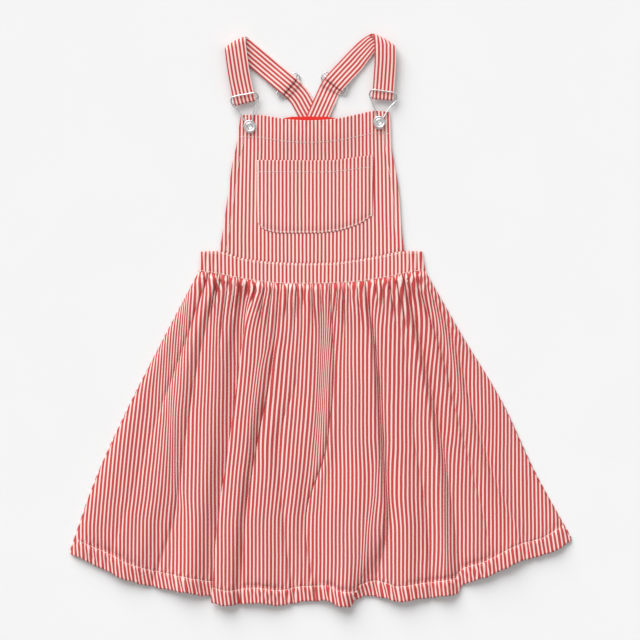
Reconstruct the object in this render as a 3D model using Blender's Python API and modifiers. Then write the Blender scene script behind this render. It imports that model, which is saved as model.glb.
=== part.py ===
"""A child's striped pinafore dress laid flat on its back, face up.

X runs across the dress, Y from the hem to the shoulders and Z up from the floor. The tables
are in millimetres, measured from the middle of the laid-out dress, and every object is in metres.
"""

import math

import bmesh
import bpy
import numpy as np

MM = 0.001
MIDDLE_X = 1.0          # where the middle of the whole outline lies in the tables' X

SEAM_GAP = 0.3          # pieces stay this far apart where they are sewn or lie on each other
BACK_WALL = 1.5
SKIRT_WALL = 1.2
HEM_WALL = 2.2          # the cloth turned up on itself
BAND_WALL = 2.2
BIB_WALL = 1.4
BIB_HEM_WALL = 2.4
POCKET_WALL = 1.2
POCKET_HEM_WALL = 2.0
BINDING_WALL = 1.0

STRAP_WIDTH = 27.0
STRAP_WALL = 1.6
LOOP_RADIUS = 6.0       # the outer layer's bend over the shoulder
LAYER_STEP = STRAP_WALL + 1.0     # between the strap's outer layer and the one inside it
FOLD_BOW = 1.6          # how far the corners of the fold over the shoulder are drawn in

BUTTON_RADIUS = 7.7
CLIP_WIRE = 0.95        # radius
SLIDER_WIRE = 0.85      # radius
BAR_SHARE = 0.98        # a cross bar is this much thinner than its frame

GATHERS = 28            # puckers along the front waist seam
GATHER_RISE = 1.4
ELASTIC_RISE = 0.5
TUCK_X = -88.0          # the folded tuck leaves the waist here

RED = (0.60, 0.085, 0.075)
PINK = (0.72, 0.26, 0.23)
SILVER = (0.72, 0.72, 0.72)

# ---------------------------------------------------------------- the skirt's tables

# One row for each fold line of the front skirt, left to right. The cells are the mesh columns
# up to the next line. The x values run down the line at the waist, a quarter, half and
# three quarters of the way, and the hem, and so do the heights of the cloth above the floor.
FOLD_LINES = (
    # name, cells, x down the line, height down the line, hem y
    ("left edge", 3, (-152, -198, -242.5, -282, -313), (3.0, 3.0, 3.0, 3.0, 3.1), -291),
    ("left roll", 3, (-146, -190, -231, -267.5, -296), (3.6, 6.0, 7.0, 7.5, 7.0), -300.5),
    ("valley 1", 3, (-139, -171, -205, -236, -270), (3.6, 3.2, 5.4, 6.6, 6.2), -311),
    ("ridge 1", 3, (-131, -161, -184, -207.5, -240), (4.6, 7.4, 9.0, 9.6, 9.6), -325.5),
    ("valley 2", 6, (-124, -150, -167, -180, -211), (4.2, 6.0, 5.2, 4.6, 4.0), -332.5),
    ("ridge 2", 5, (-105, -125, -136, -150, -167.5), (5.0, 9.0, 11.0, 12.0, 12.0), -340.5),
    ("tuck foot", 3, (-93, -106, -116, -130, -138), (4.2, 3.8, 4.0, 4.2, 4.2), -344.5),
    ("tuck bend", 2, (-90, -98, -106, -117, -122), (4.0, 2.9, 2.9, 2.9, 3.1), -347.5),
    ("tuck return", 3, (-88, -96.5, -105.5, -116.5, -121.5), (4.4, 5.8, 6.2, 6.5, 6.8), -350),
    ("tuck lip", 2, (-84.5, -100, -113, -127.5, -135), (5.2, 8.0, 8.4, 8.8, 9.2), -353),
    ("tuck crown", 4, (-80.5, -94, -109, -124, -131), (6.0, 10.8, 11.6, 11.9, 12.2), -355.5),
    ("ridge 3", 6, (-70, -75, -92, -106, -114), (5.0, 10.0, 12.0, 12.4, 12.4), -357),
    ("valley 3", 5, (-50, -60, -79, -94, -100), (4.0, 4.4, 4.4, 5.0, 5.4), -355),
    ("ridge 4", 5, (-36, -41, -65, -73, -72), (4.8, 8.6, 8.6, 8.8, 9.6), -356),
    ("valley 4", 5, (-22.5, -25, -51, -45, -32), (4.6, 8.8, 7.0, 5.4, 3.6), -353),
    ("ridge 5", 6, (-5, -4, -21, -32.5, -19), (4.8, 9.0, 9.4, 7.0, 3.4), -351),
    ("valley 5", 7, (12.5, 17.5, 9, -18, -4), (4.0, 4.2, 4.4, 4.6, 4.0), -351),
    ("ridge 6", 4, (34, 42.5, 40, 34, 28), (5.0, 10.0, 12.0, 13.0, 14.0), -359.5),
    ("shoulder", 4, (46, 60, 66, 74, 43), (5.0, 9.6, 11.4, 12.0, 6.0), -350),
    ("valley 6", 3, (56, 70, 77.5, 85, 64), (4.0, 4.0, 4.2, 4.2, 3.2), -345.5),
    ("step up", 4, (63, 77, 84, 92, 84), (4.6, 7.0, 7.6, 7.4, 8.0), -351.5),
    ("ridge 7", 4, (75, 91, 99, 109, 108), (5.0, 8.8, 10.4, 11.2, 11.4), -350),
    ("valley 7", 4, (86, 108, 118, 134, 139), (4.4, 8.0, 7.4, 5.4, 3.6), -346),
    ("ridge 8", 3, (96, 120, 140, 152, 159), (5.0, 9.6, 11.2, 12.0, 12.0), -346),
    ("valley 8", 3, (103, 127.5, 149, 166, 177), (3.8, 3.6, 4.0, 4.6, 3.6), -335),
    ("ridge 9", 3, (110, 139, 161, 185, 200), (4.8, 8.0, 9.0, 9.8, 9.8), -323),
    ("valley 9", 2, (116, 150, 174, 199, 222.5), (4.0, 4.4, 6.6, 8.4, 8.6), -314.5),
    ("ridge 10", 2, (121, 159, 183, 211, 244), (4.4, 7.2, 8.0, 9.4, 9.6), -306),
    ("valley 10", 2, (125, 167.5, 193, 223, 266), (3.6, 3.6, 4.2, 5.0, 4.2), -297),
    ("right roll", 3, (129, 174, 212.5, 247, 295), (3.6, 6.4, 7.4, 7.6, 7.0), -289),
    ("right edge", 0, (132, 180, 230, 269, 315), (3.0, 3.0, 3.0, 3.0, 3.1), -276),
)
STATIONS = (0.0, 0.25, 0.5, 0.75, 1.0)          # where those five values stand down the skirt
ROWS_DOWN = (0.0, 0.025, 0.07, 0.14, 0.25, 0.38, 0.5, 0.63, 0.76, 0.88, 0.955, 1.0)

# The waist seam, bowed down in the middle.
WAIST_SEAM = ((-152, 60.5), (-122, 55), (-72, 46.5), (-42, 44), (-8, 44), (26, 45), (56, 47.5),
              (86, 52.5), (116, 59), (132, 61))
# The back hem is a little shorter, so the front hides it.
BACK_HEM = ((-312, -287), (-270, -306), (-211, -327), (-137, -339), (-60, -346), (20, -346),
            (65, -341), (105, -343), (176, -329), (222, -309), (266, -291), (314, -272))

# ---------------------------------------------------------------- the bodice's tables

BAND_TOP = ((-149, 85.5), (-125.5, 86), (-99, 77.5), (-59, 72.5), (-22.5, 71), (12.5, 71.5),
            (46, 75.5), (76, 80.5), (105, 86), (128, 85.5))
BIB_LEFT = ((86, -125.5), (129, -119), (165, -114), (200, -109), (216, -105), (250, -100), (257, -98.5))
BIB_RIGHT = ((86, 105), (121, 101.5), (147.5, 100), (174, 97), (206, 91), (222, 89), (250, 88), (261, 86.5))
BIB_TOP = ((-98.5, 256.5), (-80, 256.5), (-40, 251), (-15, 249.5), (14, 251), (50, 258), (69, 261.5),
           (86.5, 260.5))
POCKET_TOP = ((-79, 200), (6, 199.5), (61, 205.5), (68, 206))
POCKET_FOOT = ((-78, 122), (-72, 114.5), (-62, 110.5), (-48, 108.5), (-7, 108.5), (20, 111), (49, 120),
               (66, 131))
POCKET_TOP_SIDES = (-79, 68)
POCKET_FOOT_SIDES = (-78, 66)
BIB_DRAPE = 0.3
BIB_LIFT = 3.9          # where the bib lies over the strap ends and their binding

YOKE_MIDDLE_X = -13.0
YOKE_TOP_Y = 243.5
YOKE_HALF_TOP = 31.0
YOKE_HALF_FOOT = 104.0
BINDING_FOOT_Y = 241.5
BINDING_TOP_Y = 253.5

# ---------------------------------------------------------------- the straps' tables

# The fold point is where the strap's middle meets its bend over the shoulder. Angles are in
# degrees from +X. A leg is sections of (length, turn), walked away from the shoulder. Narrow
# gives the strap's share of its width at distances past the fold point.
STRAPS = {
    "left": {
        "fold": (-106.3, 341.6),
        "fold_axis": 29.0,
        "rising": 98.5,
        "front_leg": ((20, 0), (44, 6)),
        "back_leg": ((82, 0), (18, -21)),
        "narrow": ((0, 1), (60, 1)),
        "slider_at": 80.0,
        "lift": ((0, 0), (120, 0)),
    },
    "right": {
        "fold": (82.0, 343.5),
        "fold_axis": 151.0,
        "rising": 90.0,
        "front_leg": ((20, -4), (38, 0)),
        "back_leg": ((16, 14), (51, 2), (15, 18), (14, 0)),
        "narrow": ((0, 1), (16, 0.8), (24, 0.8), (60, 1)),
        "slider_at": 76.5,
        "lift": ((0, 0), (90, 0), (104, 1.9), (150, 1.9)),
    },
}
STRAP_END_Y = 243.8
CLIP_Z = 6.4                # the middle of the clip's wire, round the button's post
CLIP_BAR_Z = 6.8
BUTTONS = {"left": (-88.0, 242.5), "right": (74.0, 247.5)}
CLIP_BAR_REACH = 26.5       # from the button's middle to the bar that the strap turns round
CLIP_BAR_OVERHANG = 2.9     # the bar's ends stand this far past the strap's edges

# Half of the clip's wire, from the middle of its lower end up to the middle of its top bar:
# across, along towards the strap, and up from the lower end.
CLIP_PATH = ((0.0, -8.2, 0.0), (2.6, -7.6, 0.0), (4.8, -5.6, 0.0), (5.4, -2.6, 0.0), (4.6, 1.5, 0.0),
             (4.4, 5.5, 0.0), (6.4, 10.5, 0.0), (9.2, 15.2, 0.0), (12.8, 19.8, 0.1), (15.6, 23.6, 0.2),
             (17.0, 27.0, 0.5), (17.2, 30.0, 2.6), (15.8, 33.2, 4.8), (12.8, 34.6, 5.8), (6.5, 34.9, 5.8),
             (0.0, 34.9, 5.8))
# Half of the slider's wire, from the middle of its lower bar to the middle of its upper bar.
SLIDER_PATH = ((0.0, 6.2, 0.9), (12.0, 6.2, 0.9), (15.8, 5.6, 1.2), (17.6, 3.0, 3.2), (17.6, -2.6, 4.6),
               (15.8, -5.2, 4.4), (12.0, -5.8, 4.2), (0.0, -5.8, 4.2))
SLIDER_BAR_Z = 4.8
SLIDER_HALF_BAR = 17.5


# ---------------------------------------------------------------- curves

def smooth(table, where):
    """A cubic through a table of (where, value) points, whose slopes never overshoot."""
    knots = np.array([row[0] for row in table], float)
    values = np.array([row[1] for row in table], float)
    gaps = np.diff(knots)
    rises = np.diff(values) / gaps
    slopes = np.empty(len(knots))
    slopes[0], slopes[-1] = rises[0], rises[-1]
    before, after = rises[:-1], rises[1:]
    level = before * after <= 0
    slopes[1:-1] = np.where(level, 0, 2 * before * after / np.where(level, 1, before + after))
    where = np.clip(np.asarray(where, float), knots[0], knots[-1])
    at = np.clip(np.searchsorted(knots, where, side="right") - 1, 0, len(gaps) - 1)
    t = (where - knots[at]) / gaps[at]
    return (values[at] * (1 + 2 * t) * (1 - t) ** 2 + values[at + 1] * t * t * (3 - 2 * t)
            + gaps[at] * (slopes[at] * t * (1 - t) ** 2 - slopes[at + 1] * t * t * (1 - t)))


def through(knots, values, where):
    """A cubic through points that may turn back, with the slopes of their neighbours."""
    gaps = np.diff(knots)
    rises = np.diff(values) / gaps
    slopes = np.empty(len(knots))
    slopes[0], slopes[-1] = rises[0], rises[-1]
    slopes[1:-1] = (values[2:] - values[:-2]) / (knots[2:] - knots[:-2])
    at = np.clip(np.searchsorted(knots, where, side="right") - 1, 0, len(gaps) - 1)
    t = (where - knots[at]) / gaps[at]
    return (values[at] * (1 + 2 * t) * (1 - t) ** 2 + values[at + 1] * t * t * (3 - 2 * t)
            + gaps[at] * (slopes[at] * t * (1 - t) ** 2 - slopes[at + 1] * t * t * (1 - t)))


def step(low, high, value):
    """0 below low, 1 above high and a soft rise between."""
    t = np.clip((value - low) / (high - low), 0, 1)
    return t * t * (3 - 2 * t)


# ---------------------------------------------------------------- objects

def material(name, colour, roughness, metallic=0.0):
    made = bpy.data.materials.new(name)
    made.use_nodes = True
    shader = made.node_tree.nodes["Principled BSDF"]
    shader.inputs["Base Color"].default_value = (*colour, 1)
    shader.inputs["Roughness"].default_value = roughness
    shader.inputs["Metallic"].default_value = metallic
    return made


def placed(points):
    """Table millimetres to world metres."""
    return (np.asarray(points, float) - (MIDDLE_X, 0, 0)) * MM


def add_mesh(name, points, faces, collection, finish):
    mesh = bpy.data.meshes.new(name)
    mesh.from_pydata([tuple(p) for p in placed(points)], [], faces)
    mesh.materials.append(finish)
    mesh.shade_smooth()
    made = bpy.data.objects.new(name, mesh)
    collection.objects.link(made)
    return made


def sheet(name, grid, wall, collection, finish, offset=0.0, thickness=None):
    """A cloth wall on a grid of points. Thickness is each point's share of the wall."""
    rows, columns = grid.shape[:2]
    faces = [(r * columns + c, r * columns + c + 1, (r + 1) * columns + c + 1, (r + 1) * columns + c)
             for r in range(rows - 1) for c in range(columns - 1)]
    made = add_mesh(name, grid.reshape(-1, 3), faces, collection, finish)
    solid = made.modifiers.new("wall", "SOLIDIFY")
    solid.thickness = wall * MM
    solid.offset = offset
    if thickness is not None:
        group = made.vertex_groups.new(name="thickness")
        for index, share in enumerate(thickness.reshape(-1)):
            group.add([index], float(share), "REPLACE")
        solid.vertex_group = group.name
    return made


def wire(name, points, radius, closed, collection, finish):
    curve = bpy.data.curves.new(name, "CURVE")
    curve.dimensions = "3D"
    curve.bevel_depth = radius * MM
    curve.bevel_resolution = 2
    curve.use_fill_caps = True
    line = curve.splines.new("POLY")
    line.points.add(len(points) - 1)
    for point, place in zip(line.points, placed(points)):
        point.co = (*place, 1)
    line.use_cyclic_u = closed
    made = bpy.data.objects.new(name, curve)
    collection.objects.link(made)
    curve.materials.append(finish)
    return made


def as_mesh(made, collection):
    """The wire as a closed mesh, for a join."""
    bpy.context.view_layer.update()
    graph = bpy.context.evaluated_depsgraph_get()
    mesh = bpy.data.meshes.new_from_object(made.evaluated_get(graph))
    shape = bmesh.new()
    shape.from_mesh(mesh)
    bmesh.ops.remove_doubles(shape, verts=shape.verts, dist=1e-6)
    bmesh.ops.recalc_face_normals(shape, faces=shape.faces)
    shape.to_mesh(mesh)
    shape.free()
    mesh.shade_smooth()
    name = made.name
    curve = made.data
    bpy.data.objects.remove(made)
    bpy.data.curves.remove(curve)
    solid = bpy.data.objects.new(name, mesh)
    collection.objects.link(solid)
    return solid


def join_bar(frame, bar):
    """The bar joined to the wire frame. The bar itself stays as a hidden helper."""
    bar.hide_render = True
    bar.display_type = "WIRE"
    joined = frame.modifiers.new("bar", "BOOLEAN")
    joined.operation = "UNION"
    joined.solver = "EXACT"
    joined.object = bar


# ---------------------------------------------------------------- the skirt

def gather_wave(waist_x, down):
    """Puckers that run down from the waist seam, each to its own depth."""
    number = (waist_x - waist_x[0]) / (waist_x[-1] - waist_x[0]) * GATHERS
    reach = 0.20 + 0.09 * np.sin(2.4 * np.floor(number)) + 0.05 * np.sin(5.1 * np.floor(number))
    fade = 1 - step(0.25 * reach, reach, down)
    ends = step(0, 1.0, number) * (1 - step(GATHERS - 1, GATHERS, number))
    tuck = np.exp(-(((waist_x - TUCK_X) / 9) ** 4))
    wave = np.sin(2 * math.pi * (number + 0.16 * np.sin(1.7 * number)))
    return GATHER_RISE * wave * fade * ends * (1 - tuck)


def front_skirt_point_rows(rows_down):
    """The middle of the front skirt's cloth, a row of points for each place down it."""
    starts = np.cumsum([0] + [line[1] for line in FOLD_LINES[:-1]]).astype(float)
    cells = np.arange(starts[-1] + 1)
    waist_x = np.array([line[2][0] for line in FOLD_LINES], float)
    waist_y = smooth(WAIST_SEAM, waist_x) - SEAM_GAP
    hem_y = np.array([line[4] for line in FOLD_LINES], float)
    rows = []
    for down in rows_down:
        x = np.array([smooth(list(zip(STATIONS, line[2])), down) for line in FOLD_LINES])
        z = np.array([smooth(list(zip(STATIONS, line[3])), down) for line in FOLD_LINES])
        y = waist_y + (hem_y - waist_y) * down
        height = through(starts, z, cells) + gather_wave(through(starts, waist_x, cells), down)
        floor = BACK_WALL + SEAM_GAP + (SKIRT_WALL / 2 if down < 0.94 else HEM_WALL / 2) + 0.05
        rows.append(np.column_stack([through(starts, x, cells), through(starts, y, cells),
                                     np.maximum(height, floor)]))
    return np.array(rows)


def make_skirt(parts, cloth):
    grid = front_skirt_point_rows(ROWS_DOWN)
    share = np.full(grid.shape[:2], SKIRT_WALL / HEM_WALL)
    share[-2:] = 1
    sheet("skirt_front", grid[::-1], HEM_WALL, parts, cloth, thickness=share[::-1])

    left = list(zip(STATIONS, FOLD_LINES[0][2]))
    right = list(zip(STATIONS, FOLD_LINES[-1][2]))
    across = np.linspace(0, 1, 25)
    rows = []
    for down in (0, 0.1, 0.25, 0.5, 0.75, 1):
        x = (smooth(left, down) + 1) * (1 - across) + (smooth(right, down) - 1) * across
        top_x = (left[0][1] + 1) * (1 - across) + (right[0][1] - 1) * across
        hem_x = (left[-1][1] + 1) * (1 - across) + (right[-1][1] - 1) * across
        top_y = smooth(WAIST_SEAM, top_x) - SEAM_GAP
        y = top_y * (1 - down) + smooth(BACK_HEM, hem_x) * down
        rows.append(np.column_stack([x, y, np.zeros(len(x))]))
    sheet("skirt_back", np.array(rows)[::-1], BACK_WALL, parts, cloth, offset=1)


# ---------------------------------------------------------------- the waistband

def band_grid(columns, rows, inset):
    across = np.linspace(0, 1, columns)
    x_top = (BAND_TOP[0][0] + inset) * (1 - across) + (BAND_TOP[-1][0] - inset) * across
    x_foot = (WAIST_SEAM[0][0] + inset) * (1 - across) + (WAIST_SEAM[-1][0] - inset) * across
    top = np.column_stack([x_top, smooth(BAND_TOP, x_top) - inset])
    foot = np.column_stack([x_foot, smooth(WAIST_SEAM, x_foot)])
    return np.array([foot * (1 - t) + top * t for t in np.linspace(0, 1, rows)])


def make_waistband(parts, cloth):
    flat = band_grid(65, 4, 0)
    middle = (flat[..., 0] + 10) / 140
    elastic = step(0.72, 0.95, np.abs(middle))
    ripple = ELASTIC_RISE * elastic * np.sin(flat[..., 0] * 2 * math.pi / 8.8)
    height = BACK_WALL + SEAM_GAP + BAND_WALL / 2 + 0.15 + ELASTIC_RISE * elastic + ripple
    sheet("waistband_front", np.dstack([flat, height]), BAND_WALL, parts, cloth)
    flat = band_grid(17, 3, 1.0)
    sheet("waistband_back", np.dstack([flat, np.zeros(flat.shape[:2])]), BACK_WALL, parts, cloth, offset=1)


# ---------------------------------------------------------------- the bib, its pocket and the yoke

def bib_height(x, y):
    """The middle of the bib's cloth: it lies on the yoke, and rises over the strap ends."""
    over_straps = step(190, 238, y) * np.exp(-(((x - YOKE_MIDDLE_X) / 58) ** 4))
    drape = BIB_DRAPE * np.sin(x / 23 + y / 41) * np.sin(y / 33 - x / 60) * step(76, 100, y)
    rest = BACK_WALL + SEAM_GAP + BIB_HEM_WALL / 2 + BIB_DRAPE
    return rest + BIB_LIFT * over_straps + drape


def bib_grid(columns, rows):
    across = np.linspace(0, 1, columns)
    foot_x = BIB_LEFT[0][1] * (1 - across) + BIB_RIGHT[0][1] * across
    top_x = BIB_LEFT[-1][1] * (1 - across) + BIB_RIGHT[-1][1] * across
    foot_y = smooth(BAND_TOP, foot_x) + 2 * SEAM_GAP
    top_y = smooth(BIB_TOP, top_x)
    grid = []
    for up in rows:
        y = foot_y * (1 - up) + top_y * up
        left = smooth(BIB_LEFT, y)
        right = smooth(BIB_RIGHT, y)
        x = left * (1 - across) + right * across
        grid.append(np.column_stack([x, y, bib_height(x, y)]))
    return np.array(grid)


def make_bib(parts, cloth):
    rows = (0, 0.1, 0.25, 0.4, 0.55, 0.68, 0.78, 0.845, 0.875, 0.94, 1)
    grid = bib_grid(33, rows)
    share = np.full(grid.shape[:2], BIB_WALL / BIB_HEM_WALL)
    share[-3:] = 1
    share[:, 0] = 1
    share[:, -1] = 1
    sheet("bib_front", grid, BIB_HEM_WALL, parts, cloth, thickness=share)

    across = np.linspace(0, 1, 17)
    foot_x = POCKET_FOOT_SIDES[0] * (1 - across) + POCKET_FOOT_SIDES[1] * across
    top_x = POCKET_TOP_SIDES[0] * (1 - across) + POCKET_TOP_SIDES[1] * across
    foot_y = smooth(POCKET_FOOT, foot_x)
    top_y = smooth(POCKET_TOP, top_x)
    rise = BIB_HEM_WALL / 2 + SEAM_GAP + POCKET_HEM_WALL / 2
    grid = []
    for up in (0, 0.2, 0.4, 0.6, 0.78, 0.85, 0.93, 1):
        x = foot_x * (1 - up) + top_x * up
        y = foot_y * (1 - up) + top_y * up
        grid.append(np.column_stack([x, y, bib_height(x, y) + rise]))
    share = np.full((len(grid), len(across)), POCKET_WALL / POCKET_HEM_WALL)
    share[-3:] = 1
    sheet("bib_pocket", np.array(grid), POCKET_HEM_WALL, parts, cloth, thickness=share)


def make_yoke(parts, cloth, tape):
    across = np.linspace(0, 1, 15)
    grid = []
    for up in (0, 0.2, 0.4, 0.6, 0.8, 0.92, 1):
        half = YOKE_HALF_FOOT + (YOKE_HALF_TOP - YOKE_HALF_FOOT) * math.sin(up * math.pi / 2)
        x = YOKE_MIDDLE_X + half * (2 * across - 1)
        foot_y = smooth(BAND_TOP, YOKE_MIDDLE_X + YOKE_HALF_FOOT * (2 * across - 1)) + SEAM_GAP
        y = foot_y * (1 - up) + YOKE_TOP_Y * up
        lift = 1.9 * step(0.84, 1, up)
        grid.append(np.column_stack([x, y, np.full(len(x), lift)]))
    sheet("bib_back", np.array(grid), BACK_WALL, parts, cloth, offset=1)

    x = YOKE_MIDDLE_X + (YOKE_HALF_TOP + 1) * np.linspace(-1, 1, 9)
    height = 2 * (STRAP_WALL + SEAM_GAP) + BINDING_WALL / 2 + 0.1
    grid = [np.column_stack([x, np.full(len(x), y), np.full(len(x), height)])
            for y in (BINDING_FOOT_Y, (BINDING_FOOT_Y + BINDING_TOP_Y) / 2, BINDING_TOP_Y)]
    sheet("back_binding", np.array(grid), BINDING_WALL, parts, tape)


# ---------------------------------------------------------------- the straps

def heading(degrees):
    angle = math.radians(degrees)
    return np.array([math.cos(angle), math.sin(angle)])


def walk(start, first_heading, sections, distance):
    """The place and heading this far along a leg whose sections each turn evenly."""
    place = np.array(start, float)
    angle = first_heading
    left = distance
    for length, turn in sections:
        stretch = min(left, length)
        steps = max(2, int(stretch / 2) + 1)
        bend = turn / length * (stretch / steps)
        for _ in range(steps):
            place = place + heading(angle + bend / 2) * (stretch / steps)
            angle += bend
        left -= stretch
        if left <= 0:
            break
    return place + heading(angle) * left, angle


class Strap:
    """A flat strap folded over the shoulder on a slanting axis, in two layers.

    Along is measured from the fold point, up over the shoulder, and is negative down the front leg.
    """

    def __init__(self, side):
        facts = STRAPS[side]
        self.facts = facts
        self.fold = np.array(facts["fold"])
        self.axis = heading(facts["fold_axis"])
        self.up = heading(facts["rising"])
        self.across = heading(facts["rising"] - 90)
        outward = np.array([-self.axis[1], self.axis[0]])
        self.outward = outward if outward[1] > 0 else -outward
        self.slant = float(self.up @ self.outward)
        self.straight = STRAP_WIDTH / 2 * abs(float(self.across @ self.outward)) / self.slant + 0.5
        self.loop = math.pi * LOOP_RADIUS / self.slant
        self.front_length = sum(length for length, _ in facts["front_leg"]) + self.straight

    def flat(self, along, over, height):
        """The fold itself: a point on the strap that far along and over to the right."""
        place = self.up * along + self.across * over
        on_axis = float(place @ self.axis)
        beyond = float(place @ self.outward)
        radius = LOOP_RADIUS + height
        middle = STRAP_WALL / 2 + LOOP_RADIUS
        if beyond <= 0:
            spot = self.fold + self.axis * on_axis + self.outward * beyond
            return spot, middle + radius
        if beyond < math.pi * LOOP_RADIUS:
            angle = beyond / LOOP_RADIUS
            spot = self.fold + self.axis * on_axis + self.outward * radius * math.sin(angle)
            return spot, middle + radius * math.cos(angle)
        back = beyond - math.pi * LOOP_RADIUS
        return self.fold + self.axis * on_axis - self.outward * back, middle - radius

    def leg(self, along, over):
        """The straight or bent leg beyond the fold, in the plan."""
        if along < 0:
            start = self.flat(-self.straight, 0, 0)[0]
            down = self.facts["rising"] - 180
            place, angle = walk(start, down, self.facts["front_leg"], -along - self.straight)
            return place + heading(angle + 90) * over
        start = self.flat(self.loop + self.straight, 0, 0)[0]
        down = 2 * self.facts["fold_axis"] - self.facts["rising"]
        distance = along - self.loop - self.straight
        place, angle = walk(start, down, self.facts["back_leg"], distance)
        return place + heading(angle + 90) * over

    def point(self, along, over, height):
        """Height is 0 for the outer layer and less for the layer inside it. Where the strap
        narrows, its left edge keeps its line. The fold bows, so its corners are rounded."""
        share = float(smooth(self.facts["narrow"], along))
        over = over * share - STRAP_WIDTH / 2 * (1 - share)
        at_fold = math.exp(-(((along - self.loop / 2) / self.loop) ** 2))
        bow = FOLD_BOW * at_fold * (2 * over / STRAP_WIDTH) ** 2
        if -self.straight <= along <= self.loop + self.straight:
            place, z = self.flat(along, over, height)
        else:
            place = self.leg(along, over)
            z = self.flat(along, 0, height)[1]
        return np.array([*(place - self.outward * bow), z + self.rise(along, height)])

    def rise(self, along, height):
        """What the legs' heights depart by from the plain fold's."""
        inner = height < -0.5 * LAYER_STEP
        if along < 0:
            level = STRAP_WALL / 2 + 2 * LOOP_RADIUS + height
            turn = CLIP_WIRE + SEAM_GAP + STRAP_WALL / 2
            target = CLIP_BAR_Z + (-turn if inner else turn)
            return (target - level) * step(0, self.front_length, -along)
        beyond = along - self.loop
        slider = self.facts["slider_at"]
        if inner:
            over_bar = SLIDER_BAR_Z + SLIDER_WIRE + SEAM_GAP + STRAP_WALL / 2
            return (over_bar - STRAP_WALL / 2 - LAYER_STEP) * step(slider - 34, slider - 6, beyond)
        over_wire = 2.5 * math.exp(-(((beyond - slider - 6.3) / 3.4) ** 4))
        return over_wire + smooth(self.facts["lift"], beyond)

    def sideways(self, along):
        """The direction across the strap at this place, in the plan."""
        edges = [self.point(along, over, 0)[:2] for over in (-1.0, 1.0)]
        return (edges[1] - edges[0]) / np.linalg.norm(edges[1] - edges[0])

    def end(self, over):
        """How far along the strap its sewn end lies, under the binding."""
        along = self.loop + 80.0
        while self.point(along, over, 0)[1] > STRAP_END_Y:
            along += 0.25
        return along


def turned(at, radius, centre_z, start, stop, count):
    """Places round a bar across the strap: along, and the height above the floor."""
    angles = np.linspace(math.radians(start), math.radians(stop), count)
    return [(at, radius * math.cos(a), centre_z + radius * math.sin(a)) for a in angles]


def strap_grid(strap):
    """Rows across the strap, from its free end at the slider to its sewn end."""
    overs = np.linspace(-STRAP_WIDTH / 2, STRAP_WIDTH / 2, 5)
    rows = []
    slider = strap.loop + strap.facts["slider_at"]
    bar_turn = SLIDER_WIRE + SEAM_GAP + STRAP_WALL / 2
    for at, reach, z in turned(slider, bar_turn, SLIDER_BAR_Z, -90, 60, 6):
        rows.append([np.array([*strap.point(at + reach, over, 0)[:2], z]) for over in overs])
    inner = list(np.linspace(slider, slider - 34, 6)) + [slider - 44]
    loop = list(np.linspace(strap.loop + strap.straight + 2, -strap.straight - 2, 16))
    front = list(np.linspace(-strap.straight - 12, -strap.front_length, 5))
    for along in inner + loop + front:
        rows.append([strap.point(along, over, -LAYER_STEP) for over in overs])
    clip_turn = CLIP_WIRE + SEAM_GAP + STRAP_WALL / 2
    for at, reach, z in turned(-strap.front_length, clip_turn, CLIP_BAR_Z, -60, 60, 5):
        rows.append([np.array([*strap.point(at - reach, over, 0)[:2], z]) for over in overs])
    for along in front[::-1] + loop[::-1]:
        rows.append([strap.point(along, over, 0) for over in overs])
    tail = list(np.linspace(strap.loop + strap.straight + 14, slider - 4, 4))
    tail += [slider + d for d in (0.5, 3.0, 5.0, 7.4, 9.4, 12.4)]
    for along in tail:
        rows.append([strap.point(along, over, 0) for over in overs])
    first = slider + 12.4
    for share in (0.2, 0.4, 0.6, 0.8, 1.0):
        rows.append([strap.point(first + (strap.end(over) - first) * share, over, 0) for over in overs])
    return np.array(rows)


def plan_frame(origin, towards):
    """Two directions in the plan: across, and along towards the other point."""
    along = (towards - origin) / np.linalg.norm(towards - origin)
    return np.array([along[1], -along[0]]), along


def laid_wire(half, origin, across, along, base):
    """A closed wire path from the table of one half."""
    whole = list(half) + [(-x, y, z) for x, y, z in half[-2:0:-1]]
    return [np.array([*(origin + across * x + along * y), base + z]) for x, y, z in whole]


def make_straps(parts, helpers, cloth, metal):
    for side in STRAPS:
        strap = Strap(side)
        sheet(f"strap_{side}", strap_grid(strap), STRAP_WALL, parts, cloth)

        bar = strap.point(-strap.front_length, 0, 0)[:2]
        button = np.array(BUTTONS[side])
        across, along = plan_frame(button, bar)
        half = STRAP_WIDTH / 2 + CLIP_BAR_OVERHANG
        reach = float(np.linalg.norm(bar - button))
        stretch = reach - CLIP_BAR_REACH
        path = [(x, y + stretch * step(6, 22, y), z) for x, y, z in CLIP_PATH]
        frame = wire(f"clip_{side}", laid_wire(path, button, across, along, CLIP_Z), CLIP_WIRE, True,
                     parts, metal)
        sideways = strap.sideways(-strap.front_length)
        ends = [np.array([*(bar + sideways * x), CLIP_BAR_Z]) for x in (-half, half)]
        rod = wire(f"clip_bar_{side}", ends, CLIP_WIRE * BAR_SHARE, False, helpers, metal)
        join_bar(as_mesh(frame, parts), as_mesh(rod, helpers))

        middle = strap.point(strap.loop + strap.facts["slider_at"], 0, 0)[:2]
        ahead = strap.point(strap.loop + strap.facts["slider_at"] + 4, 0, 0)[:2]
        across, along = plan_frame(middle, ahead)
        frame = wire(f"slider_{side}", laid_wire(SLIDER_PATH, middle, across, along, 0), SLIDER_WIRE, True,
                     parts, metal)
        ends = [np.array([*(middle + across * x), SLIDER_BAR_Z]) for x in (-SLIDER_HALF_BAR, SLIDER_HALF_BAR)]
        rod = wire(f"slider_bar_{side}", ends, SLIDER_WIRE * BAR_SHARE, False, helpers, metal)
        join_bar(as_mesh(frame, parts), as_mesh(rod, helpers))


# ---------------------------------------------------------------- the buttons

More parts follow.
